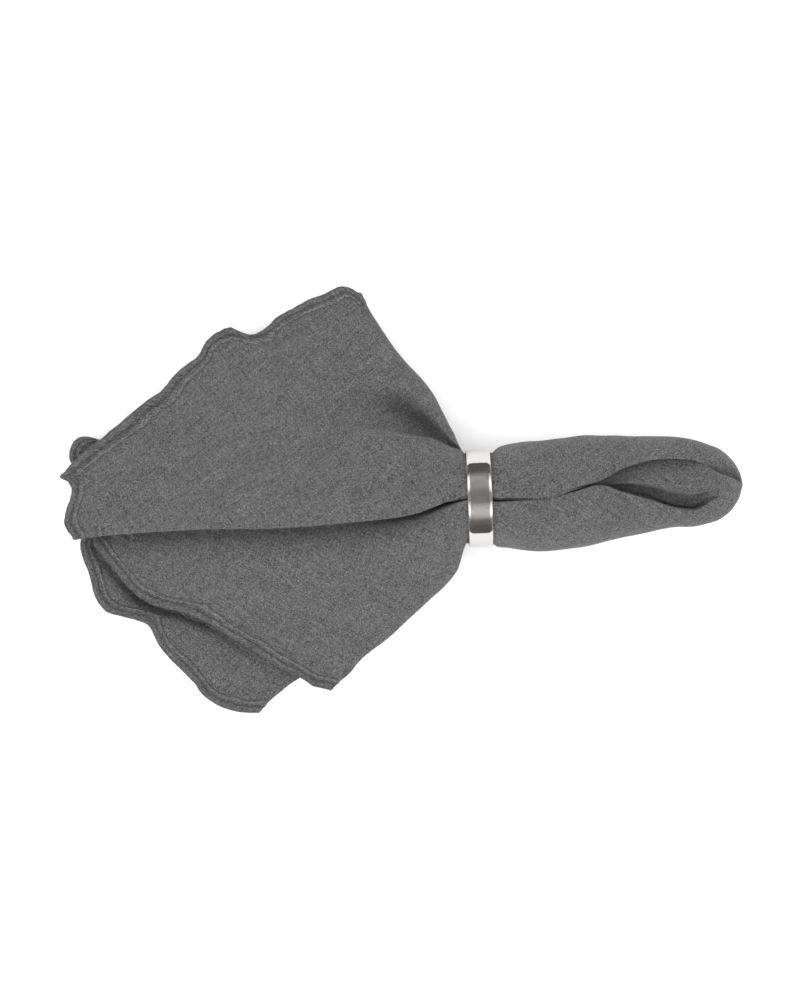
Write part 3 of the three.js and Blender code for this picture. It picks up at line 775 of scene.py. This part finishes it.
HEM_WIDTH = 5.2
HEM_HALF_THICKNESS = 0.75
HEM_PROFILE = table(
    "across rise",
    (-0.5, 0.0), (-0.3, 0.7), (0.3, 1.35), (1.2, 1.6), (2.0, 1.25), (2.5, 0.6), (3.1, 0.55), (3.7, 0.6),
    (4.2, 1.05), (4.7, 0.95), (5.1, 0.45), (5.4, 0.1), (5.4, -0.1), (5.0, -0.5), (4.0, -0.8), (2.4, -0.7),
    (1.2, -1.1), (0.4, -1.0), (-0.3, -0.6),
)
STITCH_LINE = 4.3
STITCH_LENGTH = 1.7
STITCH_GAP = 1.5
STITCH_RADIUS = 0.2
STITCH_SIDES = 6
STITCH_SUNK = 0.8

# A stitch's rings: the place along it, its thickness and its height, as parts of its length and radius.
STITCH_RINGS = ((-0.5, 0.3, -0.5), (-0.32, 1, 0.55), (0.32, 1, 0.55), (0.5, 0.3, -0.5))


def new_mesh(name, points, faces, uv=None):
    """A smooth mesh object from points in millimetres and texture places in millimetres."""
    mesh = bpy.data.meshes.new(name)
    mesh.from_pydata((np.asarray(points) * MM).tolist(), [], faces)
    if uv is not None:
        layer = mesh.uv_layers.new(name="weave")
        layer.data.foreach_set("uv", np.asarray(uv, dtype=np.float32).ravel())
    mesh.polygons.foreach_set("use_smooth", [True] * len(mesh.polygons))
    mesh.update()
    piece = bpy.data.objects.new(name, mesh)
    bpy.context.scene.collection.objects.link(piece)
    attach(piece, "root")
    return piece


def grid_faces(rows, columns):
    """Quads of a grid that is closed along its sections, facing out of the bundle."""
    r, i = np.meshgrid(np.arange(rows - 1), np.arange(columns), indexing="ij")
    after = (i + 1) % columns
    quads = [r * columns + i, r * columns + after, (r + 1) * columns + after, (r + 1) * columns + i]
    return np.stack(quads, -1).reshape(-1, 4)


def turned(u, v, degrees):
    """Texture places whose first direction runs along the threads at this angle."""
    c, s = math.cos(math.radians(degrees)), math.sin(math.radians(degrees))
    return u * c + v * s, v * c - u * s


# Panels of cloth whose weave runs through: the first fold, the fold after the last stretch, the line
# from which the cloth is unrolled ("first" or "last"), and the threads' direction seen from above.
WEAVE_PANELS = table(
    "first until unrolled_from grain",
    ("right_inner_gusset", "upper_side", "first", 40),
    ("upper_side", "tuck_edge", "last", 38),
    ("tuck_edge", "tuck_bottom", "first", 38),
    ("tuck_bottom", "lower_lip", "last", -32),
    ("lower_lip", "lower_side", "first", -32),
    ("lower_side", "left_inner_gusset", "first", -32),
    ("left_inner_gusset", "lower_corner", "first", -38),
    ("lower_corner", "left_under_valley", "first", -38),
    ("left_under_valley", "left_underside", "first", 50),
    ("left_underside", "bottom_valley", "first", 50),
    ("bottom_valley", "right_underside", "first", 50),
    ("right_underside", "right_under_valley", "first", 40),
    ("right_under_valley", "upper_underside", "first", 40),
    ("upper_underside", None, "first", 40),
)


def weave_places(points):
    """Each face corner's place on the cloth's threads, in millimetres.

    A panel is unrolled sideways from one of its lines, so the weave keeps its size where the cloth
    is steep."""
    rows, columns = points.shape[:2]
    corners = np.zeros((rows - 1, columns, 4, 2))
    numbers = {fold["name"]: i for i, fold in enumerate(FOLDS)}
    numbers[None] = len(FOLDS)
    after = np.roll(points, -1, axis=1)
    step = np.hypot(after[..., 1] - points[..., 1], after[..., 2] - points[..., 2])
    for panel in WEAVE_PANELS:
        own = np.flatnonzero((owners >= numbers[panel["first"]]) & (owners < numbers[panel["until"]]))
        way = np.sign(after[0, own[-1], 1] - points[0, own[0], 1]) or 1.0
        length = np.concatenate([np.zeros((rows, 1)), np.cumsum(step[:, own], axis=1)], axis=1)
        if panel["unrolled_from"] == "first":
            sideways = points[:, own[0], 1][:, None] + way * length
        else:
            sideways = after[:, own[-1], 1][:, None] - way * (length[:, -1:] - length)
        ahead = np.concatenate([points[:, own, 0], after[:, own[-1:], 0]], axis=1)
        u, v = turned(ahead, sideways, panel["grain"])
        place = np.stack([u, v], -1)
        corners[:, own, 0] = place[:-1, :-1]
        corners[:, own, 1] = place[:-1, 1:]
        corners[:, own, 2] = place[1:, 1:]
        corners[:, own, 3] = place[1:, :-1]
    return corners.reshape(-1, 2)


def build_cloth():
    rows, columns = grid.shape[:2]
    faces = grid_faces(rows, columns)
    return new_mesh("napkin_cloth", grid.reshape(-1, 3), faces.tolist(), weave_places(undented))


ROWS_NEAR_HEM = 24


def from_hem(distance):
    """Points and normals of the sheet at a distance from its hem, measured square to the hem."""
    tangent = np.roll(grid[0], -1, axis=0) - np.roll(grid[0], 1, axis=0)
    tangent /= np.linalg.norm(tangent, axis=1, keepdims=True)
    inward = grid[4] - grid[0]
    inward /= np.linalg.norm(inward, axis=1, keepdims=True)
    slant = np.sqrt(np.maximum(1 - np.sum(tangent * inward, axis=1) ** 2, 0.2))
    way = distance / slant * np.ones(len(slant))
    near = grid[:ROWS_NEAR_HEM]
    lengths = np.concatenate(
        [np.zeros((1, grid.shape[1])), np.cumsum(np.linalg.norm(np.diff(near, axis=0), axis=2), axis=0)]
    )
    points = np.empty_like(grid[0])
    for i in range(grid.shape[1]):
        for k in range(3):
            points[i, k] = np.interp(way[i], lengths[:, i], near[:, i, k])
    outside = way < 0
    points[outside] = grid[0][outside] + (inward * way[:, None])[outside]
    return points, np.cross(tangent, inward) * -1


def wobble(size, seed):
    """Uneven values from -1 to 1 along the hem."""
    length = np.concatenate([[0], np.cumsum(np.linalg.norm(np.diff(grid[0], axis=0), axis=1))])
    return value_noise(length, np.full(len(length), 0.5), size, seed)


# Where the hem is sewn wider, the ridge runs further in.
WIDER_HEM = {"x": -128, "y": 33, "reach": 32, "by": 2.4}


def wider_hem():
    """How much further in the ridge runs, at each of the hem's points."""
    away = np.hypot(grid[0, :, 0] - WIDER_HEM["x"], grid[0, :, 1] - WIDER_HEM["y"])
    own = np.zeros(grid.shape[1])
    own[columns_from("strip_edge", "tuck_edge")] = 1
    return WIDER_HEM["by"] * own * np.exp(-((away / WIDER_HEM["reach"]) ** 2))


def build_hem():
    """The folded hem: a rolled rim, a groove and a stitched ridge round the sheet's edge."""
    loops = []
    uneven_rim = 0.3 * wobble(5.5, 21) + 0.3 * wobble(1.9, 22)
    uneven_ridge = 0.7 * wobble(9, 23) + 0.35 * wobble(4, 24)
    for row in HEM_PROFILE:
        inner = smooth((row["across"] - 1) / 3)
        points, normals = from_hem(row["across"] + mix(uneven_rim, uneven_ridge + wider_hem(), inner))
        normals = normals / np.linalg.norm(normals, axis=1, keepdims=True)
        thinner_at_folds = mix(0.2, 1, smooth(np.abs(normals[:, 2:]) * 1.4))
        loops.append(points + normals * row["rise"] * HEM_HALF_THICKNESS * thinner_at_folds)
    band = np.array(loops)
    band[..., 2] = np.maximum(band[..., 2], 0.1)
    rows, columns = band.shape[:2]
    faces = grid_faces(rows + 1, columns) % (rows * columns)
    length = np.concatenate([[0], np.cumsum(np.linalg.norm(np.roll(grid[0], -1, 0) - grid[0], axis=1))])
    across = [row["across"] for row in HEM_PROFILE] + [HEM_PROFILE[0]["across"]]
    r, i = np.divmod(np.arange(rows * columns), columns)
    u0, u1 = length[i], length[i + 1]
    v0, v1 = np.array(across)[r], np.array(across)[r + 1]
    uv = np.stack([np.stack(place, -1) for place in ((u0, v0), (u1, v0), (u1, v1), (u0, v1))], 1)
    return new_mesh("napkin_hem", band.reshape(-1, 3), faces.tolist(), uv.reshape(-1, 2))


def build_stitches():
    """The hem's sewing thread: a row of short stitches on each face of the hem."""
    points, normals = from_hem(STITCH_LINE + wider_hem())
    normals = normals / np.linalg.norm(normals, axis=1, keepdims=True)
    steps = np.linalg.norm(np.roll(points, -1, axis=0) - points, axis=1)
    length = np.concatenate([[0], np.cumsum(steps)])
    closed = np.concatenate([points, points[:1]])
    closed_normals = np.concatenate([normals, normals[:1]])
    at = lambda values, place: np.array([np.interp(place, length, values[:, k]) for k in range(3)])
    vertices, faces = [], []
    pitch = length[-1] / round(length[-1] / (STITCH_LENGTH + STITCH_GAP))
    sides = STITCH_SIDES
    for side in (1, -1):
        for k in range(round(length[-1] / pitch)):
            middle = (k + 0.5) * pitch
            base = len(vertices)
            for part, size, lift in STITCH_RINGS:
                centre = at(closed, middle + part * STITCH_LENGTH)
                up = at(closed_normals, middle + part * STITCH_LENGTH) * side
                ahead = at(closed, middle + part * STITCH_LENGTH + 0.2) - centre
                ahead /= np.linalg.norm(ahead) + 1e-9
                beside = np.cross(ahead, up)
                centre = centre + up * (HEM_HALF_THICKNESS * STITCH_SUNK + lift * STITCH_RADIUS)
                for j in range(sides):
                    a = 2 * math.pi * j / sides
                    vertices.append(centre + STITCH_RADIUS * size * (beside * math.cos(a) + up * math.sin(a)))
            for ring in range(3):
                for j in range(sides):
                    a, b = base + ring * sides + j, base + ring * sides + (j + 1) % sides
                    faces.append((a, b, b + sides, a + sides))
            faces.append(tuple(base + j for j in reversed(range(sides))))
            faces.append(tuple(base + 3 * sides + j for j in range(sides)))
    vertices = np.array(vertices)
    vertices[:, 2] = np.maximum(vertices[:, 2], 0.05)
    return new_mesh("hem_stitches", vertices, faces)


RING_ROUND_STEPS = 256
RING_EDGE_ROUNDING = 0.45
RING_CROWN = 0.34


def build_ring():
    """The ring's band: a slightly crowned profile with rounded edges, turned about its axis."""
    outer, inner, half = RING_OUTER_DIAMETER / 2, RING_OUTER_DIAMETER / 2 - RING_WALL, RING_WIDTH / 2
    profile = []
    for x in np.linspace(-1, 1, 41):
        profile.append((x * (half - RING_EDGE_ROUNDING), outer - RING_CROWN * abs(x) ** 6))
    r = RING_EDGE_ROUNDING
    shoulder = outer - RING_CROWN - r
    corners = (
        (half - r, shoulder, np.linspace(90, 0, 7)[1:]),
        (half - r, inner + r, np.linspace(0, -90, 5)),
        (r - half, inner + r, np.linspace(-90, -180, 5)),
        (r - half, shoulder, np.linspace(180, 90, 7)[:-1]),
    )
    for x, radius, angles in corners:
        profile += [(x + r * math.cos(a), radius + r * math.sin(a)) for a in np.radians(angles)]
    profile = np.array(profile)
    angles = np.arange(RING_ROUND_STEPS) * 2 * math.pi / RING_ROUND_STEPS
    x = np.repeat(profile[:, 0][:, None], RING_ROUND_STEPS, axis=1)
    y = profile[:, 1][:, None] * np.cos(angles)
    z = profile[:, 1][:, None] * np.sin(angles)
    turn = math.radians(RING_TURN_DEGREES)
    points = np.stack(
        [
            RING_CENTRE_X + x * math.cos(turn) - y * math.sin(turn),
            RING_CENTRE_Y + x * math.sin(turn) + y * math.cos(turn),
            RING_CENTRE_Z + z,
        ],
        -1,
    )
    rows = len(profile)
    faces = grid_faces(rows + 1, RING_ROUND_STEPS) % (rows * RING_ROUND_STEPS)
    return new_mesh("polished_ring", points.reshape(-1, 3), faces.tolist())


class Nodes:
    """A node tree, with short ways to add and join its nodes."""

    def __init__(self, tree):
        self.tree = tree

    def add(self, kind, **settings):
        node = self.tree.nodes.new(kind)
        for key, value in settings.items():
            setattr(node, key, value)
        return node

    def link(self, value, socket):
        if isinstance(value, bpy.types.NodeSocket):
            self.tree.links.new(value, socket)
        else:
            socket.default_value = value

    def math(self, operation, *values):
        node = self.add("ShaderNodeMath", operation=operation)
        for k, value in enumerate(values):
            self.link(value, node.inputs[k])
        return node.outputs[0]

    def vector(self, x=0.0, y=0.0, z=0.0):
        node = self.add("ShaderNodeCombineXYZ")
        for k, value in enumerate((x, y, z)):
            self.link(value, node.inputs[k])
        return node.outputs[0]

    def noise(self, vector, scale, detail=2.0, roughness=0.5):
        node = self.add("ShaderNodeTexNoise")
        self.link(vector, node.inputs["Vector"])
        node.inputs["Scale"].default_value = scale
        node.inputs["Detail"].default_value = detail
        node.inputs["Roughness"].default_value = roughness
        return node.outputs["Fac"]

    def span(self, value, low, high, to_low, to_high):
        node = self.add("ShaderNodeMapRange")
        for k, item in enumerate((value, low, high, to_low, to_high)):
            self.link(item, node.inputs[k])
        return node.outputs[0]

    def ramp(self, value, stops):
        """A colour that changes along a value, from (place, colour) pairs."""
        node = self.add("ShaderNodeValToRGB")
        self.link(value, node.inputs[0])
        elements = node.color_ramp.elements
        while len(elements) < len(stops):
            elements.new(0.5)
        for element, (place, colour) in zip(elements, stops):
            element.position = place
            element.color = colour
        return node.outputs[0]


class Surface(Nodes):
    """A material's nodes."""

    def __init__(self, name):
        self.material = bpy.data.materials.new(name)
        self.material.use_nodes = True
        super().__init__(self.material.node_tree)
        self.shader = self.tree.nodes["Principled BSDF"]

    def set(self, **values):
        """Sets the shader's own numbers, such as Roughness."""
        for name, value in values.items():
            self.shader.inputs[name.replace("_", " ")].default_value = value

    def paint(self, value, tint=(1, 1, 1)):
        """Colours the surface in shades of one tint."""
        colour = self.add("ShaderNodeCombineColor")
        for k, part in enumerate(tint):
            self.link(value if part == 1 else self.math("MULTIPLY", value, part), colour.inputs[k])
        self.link(colour.outputs[0], self.shader.inputs["Base Color"])


THREAD_PITCH = 0.55
LINEN_GREY = 0.0735
# Painted shading across the hem, as (millimetres from the hem's edge, factor): painted shade at the rolled rim's
# edge, in the groove and along the inner edge, and a painted highlight on the stitched ridge.
HEM_PAINTED_SHADING = (
    (0.0, 0.75), (1.0, 1.04), (1.9, 0.9), (2.5, 0.52), (3.1, 0.88), (3.7, 1.0), (4.1, 1.25),
    (4.6, 1.2), (5.2, 0.72),
)


def linen_material(name, grey, painted_shading_across=None):
    """Plain-woven linen: uneven threads, slubs, light flecks and a bumpy weave, with painted shade between the
    threads.

    painted_shading_across: how light the cloth is painted at distances from the hem's edge, as (millimetres,
    factor): painted shade at the rim's edge, in the groove and at the inner edge, and a painted highlight on the
    ridge."""
    n = Surface(name)
    uv = n.add("ShaderNodeUVMap", uv_map="weave").outputs[0]
    split = n.add("ShaderNodeSeparateXYZ")
    n.link(uv, split.inputs[0])
    # Threads wander a little from straight lines.
    drift = n.span(n.noise(uv, 0.035, 2, 0.5), 0.2, 0.8, -2.2, 2.2)
    u = n.math("ADD", split.outputs[0], drift)
    v = n.math("SUBTRACT", split.outputs[1], drift)

    def threads(along_it, across_it, seed):
        """A family of threads: each one's round top, its uneven tone and its number."""
        place = n.math("DIVIDE", across_it, THREAD_PITCH)
        number = n.math("FLOOR", place)
        crown = n.math("SINE", n.math("MULTIPLY", n.math("SUBTRACT", place, number), math.pi))
        row = n.math("MULTIPLY", number, 7.31)
        long_tone = n.noise(n.vector(n.math("MULTIPLY", along_it, 0.11), row, seed), 1.0, 0)
        short_tone = n.noise(n.vector(n.math("MULTIPLY", along_it, 1.5), row, seed + 4.0), 1.0, 1)
        tone = n.math("ADD", n.math("MULTIPLY", long_tone, 0.24), n.math("MULTIPLY", short_tone, 0.76))
        return crown, tone, number

    warp, warp_tone, warp_number = threads(v, u, 0.0)
    weft, weft_tone, weft_number = threads(u, v, 31.7)
    over = n.math("MODULO", n.math("ABSOLUTE", n.math("ADD", warp_number, weft_number)), 2.0)
    under = n.math("SUBTRACT", 1.0, over)
    height = n.math("ADD", n.math("MULTIPLY", warp, over), n.math("MULTIPLY", weft, under))
    tone = n.math(
        "ADD", n.math("MULTIPLY", warp_tone, n.math("ADD", n.math("MULTIPLY", over, 0.5), 0.2)),
        n.math("MULTIPLY", weft_tone, n.math("ADD", n.math("MULTIPLY", under, 0.5), 0.3)),
    )
    # Slubs: here and there a thread is thick and light over a short stretch.
    slub_place = n.vector(n.math("MULTIPLY", u, 0.07), n.math("MULTIPLY", weft_number, 3.17), 5.0)
    slub = n.math("MULTIPLY", n.span(n.noise(slub_place, 1.0, 0), 0.84, 0.88, 0, 1), weft)
    # Light flecks where a thread's fibres catch the light, and slow changes of tone.
    fleck_place = n.vector(n.math("MULTIPLY", u, 1.5), n.math("MULTIPLY", weft_number, 5.3), 9.0)
    fleck = n.math("MULTIPLY", n.span(n.noise(fleck_place, 1.0, 1), 0.6, 0.76, 0, 1), weft)
    mottle = n.noise(uv, 0.05, 4, 0.6)

    bright = n.span(tone, 0.33, 0.67, 0.24, 1.72)
    # The threads' round tops are painted lighter and the dips between them darker: painted shade of the weave's
    # relief, besides the bump below.
    bright = n.math("MULTIPLY", bright, n.span(height, 0.0, 1.0, 0.38, 1.3))
    bright = n.math("MULTIPLY", bright, n.span(mottle, 0.3, 0.7, 0.95, 1.05))
    bright = n.math("ADD", bright, n.math("MULTIPLY", slub, 0.7))
    bright = n.math("ADD", bright, n.math("MULTIPLY", fleck, 1.4))
    # Painted shading across the hem: painted shade at the rim's edge, in the groove and at the inner edge, and a
    # painted highlight on the ridge.
    if painted_shading_across:
        stops = [(place / HEM_WIDTH, (factor / 2,) * 3 + (1,)) for place, factor in painted_shading_across]
        half_painted_shading = n.ramp(n.math("DIVIDE", split.outputs[1], HEM_WIDTH), stops)
        bright = n.math("MULTIPLY", bright, n.math("MULTIPLY", half_painted_shading, 2.0))
        bright = n.math("MULTIPLY", bright, n.span(n.noise(uv, 1.1, 2), 0.3, 0.7, 0.78, 1.22))
    n.paint(n.math("MULTIPLY", bright, grey))

    bump_height = n.math("ADD", height, n.math("MULTIPLY", slub, 1.2))
    bump_height = n.math("ADD", bump_height, n.math("MULTIPLY", n.noise(uv, 0.45, 3), 0.6))
    bump = n.add("ShaderNodeBump")
    bump.inputs["Strength"].default_value = 0.6
    bump.inputs["Distance"].default_value = 0.00025
    n.link(bump_height, bump.inputs["Height"])
    n.link(bump.outputs[0], n.shader.inputs["Normal"])
    n.set(Roughness=0.92, Specular_IOR_Level=0.2, Sheen_Weight=0.12, Sheen_Roughness=0.5)
    return n.material


def thread_material():
    n = Surface("sewing_thread")
    place = n.add("ShaderNodeTexCoord").outputs["Object"]
    tone = n.noise(place, 900, 2)
    n.paint(n.span(tone, 0.3, 0.7, LINEN_GREY * 1.1, LINEN_GREY * 2.2))
    n.set(Roughness=0.7)
    return n.material


# Steel and its reflections are a little warmer than grey: the parts of red, green and blue.
WARM_TINT = (1, 0.985, 0.965)


def steel_material():
    """Polished steel, a little warm, with faint wiping marks along the band."""
    n = Surface("polished_steel")
    place = n.add("ShaderNodeTexCoord").outputs["Object"]
    marks = n.noise(place, 260, 4, 0.6)
    value = n.span(marks, 0.3, 0.7, 0.04, 0.09)
    n.link(value, n.shader.inputs["Roughness"])
    tint = n.noise(place, 60, 2)
    n.paint(n.span(tint, 0.3, 0.7, 0.455, 0.485), WARM_TINT)
    n.set(Metallic=1.0)
    return n.material


cloth = build_cloth()
hem = build_hem()
stitches = build_stitches()
ring = build_ring()

linen = linen_material("linen", LINEN_GREY)
cloth.data.materials.append(linen)
# The hem's material has painted shade and a painted highlight across the hem.
hem.data.materials.append(linen_material("linen_hem_painted_shading", LINEN_GREY, HEM_PAINTED_SHADING))
stitches.data.materials.append(thread_material())
ring.data.materials.append(steel_material())

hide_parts("napkin")
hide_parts("ring")

bpy.ops.mesh.primitive_plane_add(size=6)
floor = bpy.context.object
floor.name = "table_top"
table_paper = Surface("pale_table")
table_paper.set(Base_Color=(0.93, 0.93, 0.93, 1), Roughness=0.85)
floor.data.materials.append(table_paper.material)

# The photograph: its scale, the object's place in the 800 x 1000 frame, and a camera straight above.
MM_PER_PIXEL = 0.459
ORIGIN_PIXEL = (402, 500.5)
FRAME_SIZE = (800, 1000)
CAMERA_HEIGHT = 1800.0
FOCUS_HEIGHT = 12.0
SENSOR = 36.0
camera_data = bpy.data.cameras.new("photo_camera")
camera_data.sensor_width = SENSOR
camera_data.lens = SENSOR * (CAMERA_HEIGHT - FOCUS_HEIGHT) / (FRAME_SIZE[1] * MM_PER_PIXEL)
camera_data.clip_end = 100
camera = bpy.data.objects.new("photo_camera", camera_data)
camera.location = (
    (FRAME_SIZE[0] / 2 - ORIGIN_PIXEL[0]) * MM_PER_PIXEL * MM,
    (ORIGIN_PIXEL[1] - FRAME_SIZE[1] / 2) * MM_PER_PIXEL * MM,
    CAMERA_HEIGHT * MM,
)
bpy.context.scene.collection.objects.link(camera)
bpy.context.scene.camera = camera

# What the polished ring mirrors: the studio's brightness round the band, from the horizon at +Y (0 degrees)
# over the zenith (90) to the horizon at -Y (180), in the middle of the band and at its rolled edges.
STUDIO_BANDS = table(
    "degrees middle edges",
    (0, 0.13, 0.19), (22, 0.13, 0.21), (29, 0.21, 0.53), (38, 0.44, 1.9), (58, 0.51, 2.1), (66, 0.35, 1.5),
    (76, 0.27, 0.4), (98, 0.27, 0.4), (110, 0.59, 1.6), (120, 0.75, 2.3), (132, 0.64, 1.9), (143, 0.24, 0.4),
    (156, 0.16, 0.24), (170, 0.13, 0.19), (180, 0.13, 0.19),
)
AMBIENT = 1.85

# The bands' unevenness, and how far to the side a reflection looks where the edges' column takes over.
PATCH_SCALE = 4.5
PATCH_SHIFT = 0.05
EDGE_FROM_TO = (0.22, 0.5)


def build_world():
    """Even white light, with a studio of bright and dark bands for glossy reflections only."""
    world = bpy.data.worlds.new("studio")
    bpy.context.scene.world = world
    world.use_nodes = True
    n = Nodes(world.node_tree)
    plain = n.tree.nodes["Background"]
    plain.inputs[0].default_value = (1, 1, 1, 1)
    plain.inputs[1].default_value = AMBIENT

    view = n.add("ShaderNodeTexCoord").outputs["Generated"]
    direction = n.add("ShaderNodeSeparateXYZ")
    n.link(view, direction.inputs[0])
    patches = n.add("ShaderNodeTexNoise")
    patches.inputs["Scale"].default_value = PATCH_SCALE
    n.link(view, patches.inputs["Vector"])
    patch = patches.outputs["Fac"]
    place = n.math("DIVIDE", n.math("ARCTAN2", direction.outputs[2], direction.outputs[1]), math.pi)
    place = n.math("ADD", place, n.math("MULTIPLY", n.math("SUBTRACT", patch, 0.5), PATCH_SHIFT))

    def bands(column):
        stops = [(row["degrees"] / 180, [row[column] * part for part in WARM_TINT] + [1]) for row in STUDIO_BANDS]
        return n.ramp(place, stops)

    at_edge = n.add("ShaderNodeMapRange", interpolation_type="SMOOTHSTEP")
    n.link(n.math("ABSOLUTE", direction.outputs[0]), at_edge.inputs[0])
    for k, limit in enumerate(EDGE_FROM_TO, 1):
        at_edge.inputs[k].default_value = limit
    blend = n.add("ShaderNodeMix", data_type="RGBA")
    n.link(at_edge.outputs[0], blend.inputs["Factor"])
    n.link(bands("middle"), blend.inputs[6])
    n.link(bands("edges"), blend.inputs[7])
    mirrored = n.add("ShaderNodeBackground")
    n.link(blend.outputs[2], mirrored.inputs[0])
    n.link(n.math("ADD", n.math("MULTIPLY", patch, 1.2), 0.7), mirrored.inputs[1])
    choose = n.add("ShaderNodeMixShader")
    n.link(n.add("ShaderNodeLightPath").outputs["Is Glossy Ray"], choose.inputs[0])
    n.link(plain.outputs[0], choose.inputs[1])
    n.link(mirrored.outputs[0], choose.inputs[2])
    n.link(choose.outputs[0], n.tree.nodes["World Output"].inputs[0])


build_world()
bpy.context.scene.view_settings.view_transform = "Standard"

key = bpy.data.lights.new("soft_key", "AREA")
key.energy = 9
key.size = 0.8
key_object = bpy.data.objects.new("soft_key", key)
key_object.location = (-0.3, -1.1, 1.5)
bpy.context.scene.collection.objects.link(key_object)
key_object.visible_glossy = False
aim = key_object.constraints.new("TRACK_TO")
aim.target = cloth
aim.track_axis = "TRACK_NEGATIVE_Z"
aim.up_axis = "UP_Y"
